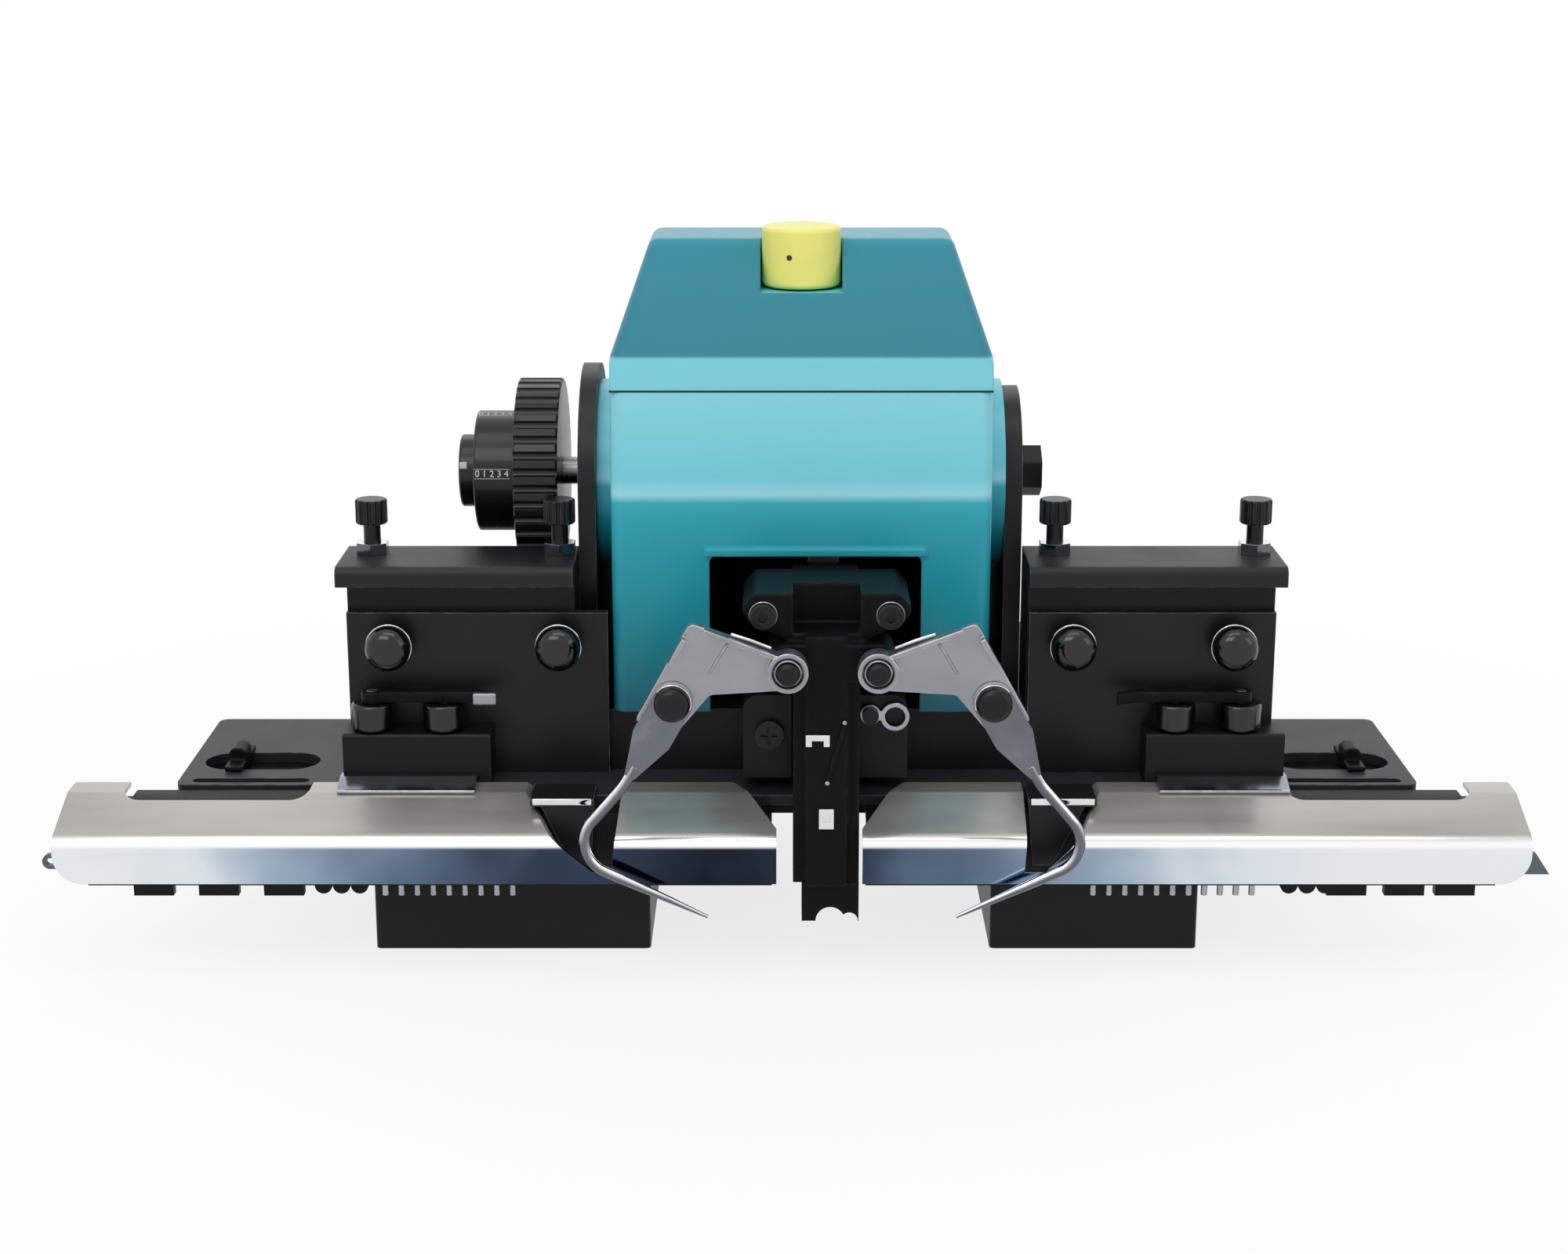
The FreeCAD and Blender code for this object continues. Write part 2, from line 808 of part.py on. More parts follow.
def make_cover_brackets():
    rear = roller_block_front - bracket_gap
    low = cover_top_face
    outline = [(rear, low), (rear, low + bracket_height), (rear - bracket_flat, low + bracket_height),
               (rear - bracket_flat - bracket_slope, low + bracket_lip_height),
               (rear - bracket_flat - bracket_slope - bracket_lip, low + bracket_lip_height),
               (rear - bracket_flat - bracket_slope - bracket_lip, low)]
    return [prism_x(outline, left_bracket_x), prism_x(outline, right_bracket_x)]


def make_brush_rail(span, lugs, bumps):
    rear = rail_front + rail_wall
    shelf = block(span, (rear, frame_y[0]), (z_plate - rail_wall, z_plate))
    wall = block(span, (rail_front, rear), (rail_bottom, z_plate))
    wall_y = (rail_front, rear)
    lug_z = (rail_bottom - lug_height, rail_bottom)
    extras = [block((x - lug_length / 2, x + lug_length / 2), wall_y, lug_z) for x in lugs]
    extras = extras + [rod_y(x, rail_bottom, bump_radius, wall_y) for x in bumps]
    return join(shelf, wall, *extras)


def make_rail_pins():
    y = rail_front + rail_wall / 2
    z = (rail_bottom - pin_length, rail_bottom)
    left = [left_pins_start + pin_pitch * i for i in range(left_pins_count)]
    right = [right_pins_start + pin_pitch * i for i in range(right_pins_count)]
    return [rod_z(x, y, pin_radius, z) for x in left + right]


def make_holder_plate(top, neck, low):
    top_z = z_deck + holder_lip
    lip = block(top, (holder_front, holder_rear), (z_deck, top_z))
    outline = [(neck[0], z_deck), (neck[1], z_deck), (low[1], holder_low_z), (low[0], holder_low_z)]
    return join(lip, prism_y(outline, (holder_front, holder_front + holder_thickness)))


def make_end_fittings():
    y = (cover_front + cover_thickness, cover_front + cover_thickness + loop_thickness)
    radius = loop_height / 2
    loop_x = (left_cover_x[0] - loop_proud + radius, left_cover_x[0] + loop_lap - radius)
    loop = join(block(loop_x, y, (loop_z - radius, loop_z + radius)),
                rod_y(loop_x[0], loop_z, radius, y), rod_y(loop_x[1], loop_z, radius, y))
    hole_radius = radius - loop_wire
    hole = join(block(loop_x, y, (loop_z - hole_radius, loop_z + hole_radius)),
                rod_y(loop_x[0], loop_z, hole_radius, y), rod_y(loop_x[1], loop_z, hole_radius, y))
    tab_x = right_cover_x[1] - tab_lap
    tab_tip_x = right_cover_x[1] + tab_proud
    tab_low = tab_z - tab_height / 2
    tab_high = tab_z + tab_height / 2
    tab = prism_y([(tab_x, tab_low), (tab_tip_x, tab_low),
                   (tab_tip_x - (tab_tip_x - tab_x) / 3, tab_high), (tab_x, tab_high)], y)
    return [loop.cut(hole), tab]


def make_roller_blocks():
    blocks = []
    for span in (left_roller_block_x, right_roller_block_x):
        body = block(span, roller_block_y, roller_block_z)
        blocks.append(round_edges(body, block_corner, lambda e: along_x(e)
                                  and e.CenterOfMass.y < roller_block_front + tiny
                                  and e.CenterOfMass.z > roller_block_z[1] - tiny))
    return blocks


def make_roller_axles():
    tops = (latch_z[1], roller_z[1], roller_z[1], latch_z[1])
    return [rod_z(x, roller_y, axle_radius, (roller_block_z[1], top)) for x, top in zip(roller_x, tops)]


def make_lock_nuts():
    nuts = []
    for x in thumb_x:
        height = (cap_z[1], cap_z[1] + lock_nut_height)
        nut = prism_z(regular_outline((x, thumb_y), lock_nut_across_flats, 6), height)
        nuts.append(nut.cut(rod_z(x, thumb_y, thumb_stem_radius + running_gap, height)))
    return nuts


def make_column_gib():
    inner = column_sides[0] - sliding_gap
    span = (inner - gib_width, inner)
    body = block(span, (gib_front, block_y[0]), gib_z)
    body = round_edges(body, gib_top_radius, lambda e: along_y(e) and e.CenterOfMass.z > gib_z[1] - tiny
                       and e.CenterOfMass.x < inner - tiny)
    groove_x = (inner - flange_reach, inner)
    groove_y = (column_rear - flange_thickness - sliding_gap, column_rear + sliding_gap)
    return body.cut(block(groove_x, groove_y, gib_z))


def make_gib_screws():
    screw_x = column_sides[0] - gib_width / 2 + sliding_gap
    head_y = (gib_front - gib_screw_height, gib_front)
    head = rod_y(screw_x, gib_screw_z, gib_screw_radius, head_y)
    half = gib_screw_slot / 2
    arm = gib_screw_radius * recess_share
    slot_y_range = (head_y[0], head_y[0] + gib_screw_slot)
    cross = [block((screw_x - half, screw_x + half), slot_y_range, (gib_screw_z - arm, gib_screw_z + arm)),
             block((screw_x - arm, screw_x + arm), slot_y_range, (gib_screw_z - half, gib_screw_z + half))]
    pin_end = gib_front - gate_thickness - double_gap
    pin = join(rod_y(gate_pivot_x, gate_pivot_z, gate_pin_radius, (pin_end, gib_front)),
               rod_y(gate_pivot_x, gate_pivot_z, gate_head_radius, (pin_end - gate_head_height, pin_end)))
    return [head.cut(Part.makeCompound(cross)), pin]


def make_button_springs():
    springs = []
    for x in push_x:
        start = front_plate_y[1] + push_stem_end_depth + push_spring_wire
        springs.append(coil(x, push_z, start, push_spring_radius, push_spring_wire,
                            push_spring_pitch, push_spring_turns))
    return springs


# Dial body

def make_main_shaft():
    return rod_x(shaft_y, shaft_z, shaft_radius, (dial_cap_x[0] + dial_cap_length / 2, shaft_nut_x[1]))


def make_drive_pinion():
    span = (column_x - pinion_half_width, column_x + pinion_half_width)
    half = tooth_pitch / 4 * gear_slack
    tip = pinion_radius + gear_addendum
    root = pinion_radius - gear_dedendum
    tip_half = half - gear_addendum * math.tan(gear_pressure)
    core = rod_x(shaft_y, shaft_z, root, span)
    teeth = []
    for i in range(pinion_teeth):
        low_side = [(shaft_y - root + half, shaft_z - half), (shaft_y - pinion_radius, shaft_z - half),
                    (shaft_y - tip, shaft_z - tip_half)]
        high_side = [(y, 2 * shaft_z - z) for y, z in reversed(low_side)]
        tooth = prism_x(low_side + high_side, span)
        tooth.rotate(Vector(0, shaft_y, shaft_z), Vector(1, 0, 0), 360.0 * i / pinion_teeth)
        teeth.append(tooth)
    return join(core, *teeth).cut(rod_x(shaft_y, shaft_z, shaft_radius, span))


def flutes_x(radius, flute_radius, count, x):
    rods = []
    for i in range(count):
        a = 2 * math.pi * i / count
        rods.append(rod_x(shaft_y + radius * math.cos(a), shaft_z + radius * math.sin(a), flute_radius, x))
    return Part.makeCompound(rods)


def make_dial_drum():
    drum = round_edges(rod_x(shaft_y, shaft_z, drum_radius, drum_x), dial_edge,
                       lambda e: abs(e.CenterOfMass.x - drum_x[0]) < tiny)
    cap = round_edges(rod_x(shaft_y, shaft_z, dial_cap_radius, dial_cap_x), dial_edge,
                      lambda e: abs(e.CenterOfMass.x - dial_cap_x[0]) < tiny)
    hole = rod_x(shaft_y, shaft_z, shaft_radius, (dial_cap_x[0] + dial_cap_length / 2, drum_x[1]))
    return join(drum, cap).cut(hole)


def make_dial_wheel():
    wheel = rod_x(shaft_y, shaft_z, wheel_radius, wheel_x)
    wheel = round_edges(wheel, dial_edge, lambda e: abs(e.CenterOfMass.y - shaft_y) < tiny
                        and abs(e.CenterOfMass.x - (wheel_x[0] + wheel_x[1]) / 2) > tiny)
    wheel = wheel.cut(flutes_x(wheel_radius, wheel_flute_radius, wheel_flutes, wheel_x))
    return wheel.cut(rod_x(shaft_y, shaft_z, shaft_radius, wheel_x))


def make_shaft_nut():
    outline = regular_outline((shaft_y, shaft_z), shaft_nut_across_flats, 6)
    return prism_x(outline, shaft_nut_x).cut(rod_x(shaft_y, shaft_z, shaft_radius, shaft_nut_x))


# Centre slide

def make_lobe():
    inner = column_sides[0]
    outer = inner - lobe_reach
    bevel = 2 * lobe_edge
    outline = [(inner, lobe_top), (outer + bevel, lobe_top), (outer, lobe_top - bevel),
               (outer + lobe_edge, lobe_top - lobe_mid_drop), (inner, lobe_top - lobe_low_drop)]
    lobe = prism_y(outline, lobe_y)
    return round_edges(lobe, lobe_edge, lambda e: along_y(e) and e.CenterOfMass.x < inner - tiny)


def make_guide_column():
    post = block(column_sides, post_y, post_z)
    rib_x = (column_x - post_rib_half_x, column_x + post_rib_half_x)
    rib = block(rib_x, (post_rib_front, post_y[0]), post_z)
    body = block(column_sides, (column_body_front, column_rear), column_body_z)
    reach = flange_reach - sliding_gap
    flange_x = (column_sides[0] - reach, column_sides[1] + reach)
    flange_y = (column_rear - flange_thickness, column_rear)
    flange = block(flange_x, flange_y, (column_body_z[0], flange_top))
    tongue = block((column_x - tongue_half_x, column_x + tongue_half_x),
                   (column_rear, rack_line - rack_depth), tongue_z)
    foot_x = column_x + post_foot_shift
    foot = block((foot_x - post_foot_half_x, foot_x + post_foot_half_x),
                 (post_y[0] - post_foot_inset, post_y[1] - post_foot_inset), (post_foot_z, post_z[0]))
    notch_y = (post_rib_front, post_y[1])
    notches = [rod_y(foot_x, post_foot_z, foot_notch_radius, notch_y),
               rod_y(foot_x + foot_notch_side_x, post_foot_z, foot_notch_side_radius, notch_y)]
    foot = foot.cut(Part.makeCompound(notches))
    lobe = make_lobe()
    mirror_lobe = lobe.mirror(Vector(column_x, 0, 0), Vector(1, 0, 0))
    bosses = []
    for x in (arm_left_x, arm_mirror_x + arm_pivot_reach):
        bosses.append(rod_y(x, arm_pivot_z, pivot_boss_radius, (post_rib_front, column_body_front)))
        web = sorted((x, column_x))
        bosses.append(block(web, (post_rib_front, column_body_front),
                            (arm_pivot_z - pivot_boss_radius, arm_pivot_z + pivot_boss_radius)))
    return join(post, rib, body, flange, tongue, foot, lobe, mirror_lobe, *bosses)


def make_rack():
    half = tooth_pitch / 4 * gear_slack
    tip_half = half - gear_addendum * math.tan(gear_pressure)
    root_half = half + gear_dedendum * math.tan(gear_pressure)
    tip = rack_line + gear_addendum
    root = rack_line - gear_dedendum
    span = (column_x - rack_half_width, column_x + rack_half_width)
    low = tongue_z[0]
    high = shaft_z + rack_teeth * tooth_pitch / 2 + tooth_pitch
    teeth = []
    for i in range(rack_teeth + 1):
        z = shaft_z + (i - rack_teeth / 2) * tooth_pitch
        teeth.append(prism_x([(root, z - root_half), (tip, z - tip_half), (tip, z + tip_half),
                              (root, z + root_half)], span))
    return join(block(span, (rack_line - rack_depth, root), (low, high)), *teeth)


def make_column_clips():
    y = (post_rib_front - clip_depth, post_rib_front)
    clip_x = column_x - post_rib_half_x + clip_half_x
    bar = block((clip_x - clip_half_x, clip_x + clip_half_x), y, (clip_z, clip_z + clip_height))
    gap = block((clip_x - clip_half_x / 2, clip_x + clip_half_x / 2), y, (clip_z, clip_z + clip_height / 2))
    latch = block((column_x - latch_plate_half_x, column_x + latch_plate_half_x), y,
                  (latch_plate_z - latch_plate_height / 2, latch_plate_z + latch_plate_height / 2))
    inner = latch_plate_half_x / 2
    window = block((column_x - inner, column_x + inner), (y[0], y[0] + clip_depth / 2),
                   (latch_plate_z - inner, latch_plate_z + inner))
    return [bar.cut(gap), latch.cut(window)]


def make_lobe_screws():
    screws = []
    y = (lobe_y[0] - lobe_screw_height, lobe_y[0])
    for side in (-1, 1):
        x = column_x + side * (column_half_x + lobe_screw_reach)
        head = rod_y(x, lobe_screw_z, lobe_screw_radius, y)
        hexagon = regular_outline((x, lobe_screw_z), socket_across_flats, 6)
        socket = prism_y(hexagon, (y[0], y[0] + socket_depth))
        screws.append(head.cut(socket))
    return screws


def make_pivot_pins():
    pins = []
    head_start = bracket_y[0] - eye_depth - double_gap
    shoulder_end = bracket_y[1] + sliding_gap

    def head_rim(edge):
        return edge.CenterOfMass.y < head_start - tiny and edge.BoundBox.YLength < tiny

    for x in (arm_left_x, arm_mirror_x + arm_pivot_reach):
        shoulder = rod_y(x, arm_pivot_z, pivot_shoulder_radius, (shoulder_end, post_rib_front))
        stem = rod_y(x, arm_pivot_z, pivot_pin_radius, (head_start, shoulder_end))
        head = rod_y(x, arm_pivot_z, pivot_head_radius, (head_start - pivot_head_height, head_start))
        head = round_edges(head, pivot_head_height * dome_share, head_rim)
        pins.append(join(shoulder, stem, head))
    return pins


def make_torsion_springs():
    start = bracket_y[0] - sliding_gap - torsion_wire - torsion_pitch * torsion_turns
    right_x = arm_mirror_x + arm_pivot_reach
    return [coil(x, arm_pivot_z, start, torsion_radius, torsion_wire, torsion_pitch, torsion_turns)
            for x in (arm_left_x, right_x)]


# Selector

def make_selector_knob():
    height = (knob_bottom, knob_bottom + knob_height)
    knob = rod_z(knob_x, knob_y, knob_radius, height)
    knob = round_edges(knob, knob_edge, lambda e: e.BoundBox.ZLength < tiny)
    return knob.cut(rod_z(knob_x, knob_y, spindle_radius, (height[0], height[0] + knob_height / 2)))


def make_knob_spindle():
    low = pocket_z - pocket_floor - spindle_boss_length - selector_cam_height - sliding_gap
    spindle = rod_z(knob_x, knob_y, spindle_radius, (low, knob_bottom + knob_height / 2))
    cam = rod_z(knob_x, knob_y + selector_cam_offset, selector_cam_radius, (low, low + selector_cam_height))
    return [spindle, cam.cut(rod_z(knob_x, knob_y, spindle_radius, (low, low + selector_cam_height)))]


# Arms and fingers, drawn for the left side

def edge_strip(start, end):
    along = Vector(end[0] - start[0], 0, end[1] - start[1])
    inward = Vector(-along.z, 0, along.x).normalize() * arm_edge_width
    base = [Vector(start[0], bracket_y[0], start[1]), Vector(end[0], bracket_y[0], end[1])]
    face = face_of(base + [base[1] + inward, base[0] + inward])
    return face.extrude(Vector(0, -arm_edge_depth, 0))


def make_arm_bracket():
    eye = rod_y(arm_left_x, arm_pivot_z, eye_radius, bracket_y)
    top_join = (arm_left_x - eye_radius / 2, arm_pivot_z + eye_radius * math.cos(math.pi / 6))
    low_join = (arm_left_x, arm_pivot_z - eye_radius)
    outline = [top_join, arm_top_corner, arm_low_left, arm_low_right, arm_elbow, low_join]
    plate = prism_y(outline, bracket_y)
    plate = round_edges(plate, arm_corner_radius, lambda e: along_y(e)
                        and e.CenterOfMass.x < arm_elbow[0] + tiny)
    cup_y = (bracket_y[0] - eye_depth, bracket_y[0])
    cup = rod_y(arm_left_x, arm_pivot_z, eye_radius, cup_y)
    inset = arm_corner_radius
    shoulder = (arm_top_corner[0] + 2 * inset, arm_top_corner[1] - inset / 2)
    edges = [edge_strip(top_join, shoulder)]
    leg_start = between(arm_top_corner, arm_low_left, 2 * inset)
    leg_end = between(arm_low_left, arm_top_corner, leg_clear())
    edges.append(edge_strip(leg_start, leg_end))
    bracket = join(plate, eye, cup, *edges)
    bore = rod_y(arm_left_x, arm_pivot_z, pivot_pin_radius + running_gap, bracket_y)
    clamp = rod_y(finger_head[0], finger_head[1], clamp_stem_radius, bracket_y)
    cup_room = rod_y(arm_left_x, arm_pivot_z, eye_inner_radius, cup_y)
    return bracket.cut(Part.makeCompound([bore, clamp])).cut(cup_room)


def between(start, end, distance):
    span = math.hypot(end[0] - start[0], end[1] - start[1])
    share = distance / span
    return (start[0] + share * (end[0] - start[0]), start[1] + share * (end[1] - start[1]))


# How far up the leg the finger's head comes, from the leg's lower corner
def leg_clear():
    leg = Vector(arm_top_corner[0] - arm_low_left[0], 0, arm_top_corner[1] - arm_low_left[1]).normalize()
    head = Vector(finger_head[0] - arm_low_left[0], 0, finger_head[1] - arm_low_left[1])
    return head.dot(leg) + finger_head_radius + finger_travel + sliding_gap


def make_clamp_screw():
    x, z = finger_head
    front = finger_y[0] - sliding_gap
    stem = rod_y(x, z, clamp_stem_radius, (front, bracket_y[1]))
    head = rod_y(x, z, clamp_head_radius, (front - clamp_head_height, front))

    def head_rim(edge):
        return edge.CenterOfMass.y < front - clamp_head_height / 2 and edge.BoundBox.YLength < tiny

    head = round_edges(head, clamp_head_height * full_dome_share, head_rim)
    return join(stem, head)


def make_wire_finger():
    axis = Vector(finger_neck[0] - finger_head[0], 0, finger_neck[1] - finger_head[1]).normalize()
    across = Vector(-axis.z, 0, axis.x)
    centre = Vector(finger_head[0], finger_y[0], finger_head[1])

    def local(u, v):
        return centre + axis * u + across * v

    depth = Vector(0, finger_thickness, 0)
    slot_half = clamp_stem_radius + clamp_slot_gap
    slot_reach = finger_travel + sliding_gap
    taper = finger_head_radius + 2 * finger_travel
    neck_distance = math.hypot(finger_neck[0] - finger_head[0], finger_neck[1] - finger_head[1])
    wide = finger_head_radius
    head = face_of([local(0, -wide), local(0, wide), local(taper, wide), local(neck_distance, finger_wire),
                    local(neck_distance, -finger_wire), local(taper, -wide)]).extrude(depth)
    crown = Part.makeCylinder(wide, finger_thickness, centre, Vector(0, 1, 0))
    slot = face_of([local(-slot_reach, -slot_half), local(-slot_reach, slot_half),
                    local(slot_reach, slot_half), local(slot_reach, -slot_half)]).extrude(depth)
    slot_ends = [Part.makeCylinder(slot_half, finger_thickness, local(u, 0), Vector(0, 1, 0))
                 for u in (-slot_reach, slot_reach)]
    start = Vector(finger_neck[0], finger_mid_y, finger_neck[1]) - axis * finger_travel
    neck = Vector(finger_neck[0], finger_mid_y, finger_neck[1]) + axis * finger_travel
    bend = Vector(finger_bend[0], finger_mid_y, finger_bend[1])
    tip = Vector(finger_tip[0], finger_mid_y, finger_tip[1])
    heading = (tip - bend).normalize()
    wire_end = tip - heading * finger_tip_length
    path = rounded_path([start, neck, bend, wire_end], [finger_neck_radius, finger_bend_radius])
    wire = pipe(path, finger_wire)
    point = Part.makeCone(finger_wire, finger_tip_wire, finger_tip_length, wire_end, heading)
    plate = join(head, crown).cut(Part.makeCompound([slot] + slot_ends))
    return join(plate, wire, point)


# Single movers

def make_push_knob(x):
    rear = front_plate_y[0]
    seat = rear - push_travel - sliding_gap
    front = seat - push_head_length
    stem_end = front_plate_y[1] + push_stem_end_depth
    collar = (front_plate_y[1] + sliding_gap, front_plate_y[1] + sliding_gap + push_collar_length)
    head = rod_y(x, push_z, push_head_radius, (front, seat))
    head = round_edges(head, push_head_length * dome_share, lambda e: abs(e.CenterOfMass.y - front) < tiny)
    stem = rod_y(x, push_z, push_stem_radius, (seat, stem_end))
    return join(head, stem, rod_y(x, push_z, push_collar_radius, collar))


def make_thumbscrew(x):
    head_z = (thumb_top - thumb_head_height, thumb_top)
    head = rod_z(x, thumb_y, thumb_head_radius, head_z)
    head = round_edges(head, thumb_flute_radius, lambda e: e.BoundBox.ZLength < tiny)
    flutes = []
    for i in range(thumb_flutes):
        a = 2 * math.pi * i / thumb_flutes
        flutes.append(rod_z(x + thumb_head_radius * math.cos(a), thumb_y + thumb_head_radius * math.sin(a),
                            thumb_flute_radius, head_z))
    head = head.cut(Part.makeCompound(flutes))
    return join(head, rod_z(x, thumb_y, thumb_stem_radius, (cap_z[1] - thumb_stem_depth, head_z[0])))


def make_roller(x):
    roller = rod_z(x, roller_y, roller_radius, roller_z)
    roller = round_edges(roller, roller_edge, lambda e: e.BoundBox.ZLength < tiny)
    return roller.cut(rod_z(x, roller_y, axle_radius + running_gap, roller_z))


def make_slot_lever(x, side):
    half_y = slot_lever_stem_y
    stem_x = (x - slot_lever_stem_x, x + slot_lever_stem_x)
    slot_x = sign_range(side, slot_inner_x, slot_length)
    flange_x = (slot_x[0] - slot_lever_lap, slot_x[1] + slot_lever_lap)
    flange_y = (slot_y - slot_lever_half_y, slot_y + slot_lever_half_y)
    low = (z_plate - sliding_gap - slot_lever_flange, z_plate - sliding_gap)
    crossbar = (z_deck + sliding_gap, z_deck + sliding_gap + slot_lever_flange / 2)
    stem = block(stem_x, (slot_y - half_y, slot_y + half_y), (low[0], crossbar[1]))
    grip = block(stem_x, (slot_y - half_y, slot_y + half_y), (crossbar[1], z_deck + slot_lever_height))
    grip = round_edges(grip, slot_lever_stem_x * full_dome_share, lambda e: along_y(e)
                       and e.CenterOfMass.z > z_deck + slot_lever_height - tiny)
    return join(stem, grip, block(flange_x, flange_y, low), block(stem_x, flange_y, crossbar))


def make_gate_lever():
    y = (gib_front - sliding_gap - gate_thickness, gib_front - sliding_gap)
    ring = rod_y(gate_ring_x, gate_ring_z, gate_ring_radius, y)
    eye = rod_y(gate_pivot_x, gate_pivot_z, gate_eye_radius, y)
    neck = prism_y([(gate_pivot_x, gate_pivot_z - gate_neck), (gate_ring_x, gate_ring_z - gate_neck),
                    (gate_ring_x, gate_ring_z + gate_neck), (gate_pivot_x, gate_pivot_z + gate_neck)], y)
    lever = join(ring, eye, neck)
    holes = [rod_y(gate_ring_x, gate_ring_z, gate_ring_radius - gate_ring_wall, y),
             rod_y(gate_pivot_x, gate_pivot_z, gate_pin_radius + running_gap, y)]
    return lever.cut(Part.makeCompound(holes))


def make_latch_lever(pivot_x, side):
    end = pivot_x + side * (latch_length - latch_tip_length)
    tip = pivot_x + side * latch_length
    half = latch_half_width
    outline = [(pivot_x, roller_y - half), (end, roller_y - half), (tip, roller_y - 2 * half),
               (tip, roller_y - half), (end, roller_y + half), (pivot_x, roller_y + half)]
    bar = prism_z(outline, latch_z)
    eye = rod_z(pivot_x, roller_y, 2 * axle_radius, latch_z)
    return join(bar, eye).cut(rod_z(pivot_x, roller_y, axle_radius + running_gap, latch_z))


def mirror_arm(shape):
    return shape.mirror(Vector(arm_mirror_x, 0, 0), Vector(1, 0, 0))


def mirror_column(shape):
    return shape.mirror(Vector(column_x, 0, 0), Vector(1, 0, 0))


save_group("feet", make_feet())
save("under_frame", make_under_frame())
save("carriage_plate", make_carriage_plate())
save("head_block", make_head_block())
save_group("cam_boxes", make_cam_boxes())
save_group("box_caps", make_box_caps())
save_group("front_plates", make_front_plates())
save("lower_housing", make_lower_housing())
save("top_cover", make_top_cover())
save_group("side_plates", [side_plate(left_arch_radius, left_side_x),
                           side_plate(right_arch_radius, right_side_x)])
save_group("shaft_bushes", make_shaft_bushes())
gib = make_column_gib()
save_group("column_gibs", [gib, mirror_column(gib)])
save_group("gib_screws", make_gib_screws())
save("left_chrome_cover", make_chrome_cover(left_cover_x, 1, left_notch_top, left_notch_low))
save("right_chrome_cover", make_chrome_cover(right_cover_x, -1, right_notch_top, right_notch_low))
save_group("cover_brackets", make_cover_brackets())
left_rail_x = (left_cover_x[0] + rail_outer_gap, left_cover_x[1] - rail_inner_gap)
right_rail_x = (right_cover_x[0] + rail_inner_gap, right_cover_x[1] - rail_outer_gap)
save_group("brush_rails", [make_brush_rail(left_rail_x, left_lugs_x, left_bumps_x),
                           make_brush_rail(right_rail_x, right_lugs_x, right_bumps_x)])
save_group("rail_pins", make_rail_pins())
save_group("holder_plates", [make_holder_plate(left_holder_top, left_holder_neck, left_holder_low),
                             make_holder_plate(right_holder_top, right_holder_neck, right_holder_low)])
save_group("cover_end_fittings", make_end_fittings())
save_group("roller_blocks", make_roller_blocks())
save_group("roller_axles", make_roller_axles())
save_group("lock_nuts", make_lock_nuts())
save_group("button_springs", make_button_springs())

save("main_shaft", make_main_shaft())
save("drive_pinion", make_drive_pinion())
save("dial_drum", make_dial_drum())
save("dial_wheel", make_dial_wheel())
save("shaft_nut", make_shaft_nut())

save("guide_column", make_guide_column())
save("rack", make_rack())
save_group("column_clips", make_column_clips())
save_group("lobe_screws", make_lobe_screws())
save_group("pivot_pins", make_pivot_pins())
save_group("torsion_springs", make_torsion_springs())

save("selector_knob", make_selector_knob())
save_group("knob_spindle", make_knob_spindle())

bracket = make_arm_bracket()
save("left_arm_bracket", bracket)
save("right_arm_bracket", mirror_arm(bracket))
screw = make_clamp_screw()
save("left_clamp_screw", screw)
save("right_clamp_screw", mirror_arm(screw))
finger = make_wire_finger()
save("left_wire_finger", finger)
save("right_wire_finger", mirror_arm(finger))

places = ("left_outer", "left_inner", "right_inner", "right_outer")
for place, x in zip(places, push_x):
    save(place + "_push_knob", make_push_knob(x))
for place, x in zip(places, thumb_x):
    save(place + "_thumbscrew", make_thumbscrew(x))
for place, x in zip(places, roller_x):
    save(place + "_roller", make_roller(x))
save("left_slot_lever", make_slot_lever(slot_lever_x[0], -1))
save("right_slot_lever", make_slot_lever(slot_lever_x[1], 1))
save("gate_lever", make_gate_lever())
save("left_latch_lever", make_latch_lever(roller_x[0], 1))
save("right_latch_lever", make_latch_lever(roller_x[3], -1))
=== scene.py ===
import math
import bmesh
import bpy
from mathutils import Matrix, Vector


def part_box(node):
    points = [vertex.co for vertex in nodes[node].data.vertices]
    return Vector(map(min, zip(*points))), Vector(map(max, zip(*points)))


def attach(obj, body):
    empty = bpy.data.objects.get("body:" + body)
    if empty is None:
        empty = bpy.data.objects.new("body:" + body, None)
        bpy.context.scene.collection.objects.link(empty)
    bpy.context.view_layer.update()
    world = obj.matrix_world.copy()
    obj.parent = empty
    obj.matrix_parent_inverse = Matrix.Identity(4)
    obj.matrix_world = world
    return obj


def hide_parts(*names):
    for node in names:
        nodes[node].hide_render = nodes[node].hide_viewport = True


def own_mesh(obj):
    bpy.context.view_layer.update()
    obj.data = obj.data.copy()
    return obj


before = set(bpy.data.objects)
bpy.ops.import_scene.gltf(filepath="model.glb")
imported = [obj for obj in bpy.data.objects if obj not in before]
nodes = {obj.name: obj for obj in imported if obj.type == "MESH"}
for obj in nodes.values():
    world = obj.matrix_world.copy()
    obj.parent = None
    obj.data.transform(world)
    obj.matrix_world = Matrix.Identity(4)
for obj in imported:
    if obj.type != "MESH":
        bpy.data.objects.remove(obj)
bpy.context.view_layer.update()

MM = 0.001


# Materials

EDGE_SAMPLES = 4
NOISE_RANGE = (0.3, 0.7)
WHITE = (1.0, 1.0, 1.0, 1.0)


def linear(*srgb):
    """Linear colour of a tone given from 0 to 255."""
    tones = (((c / 255 + 0.055) / 1.055) ** 2.4 if c > 10 else c / 255 / 12.92 for c in srgb)
    return tuple(tones) + (1.0,)


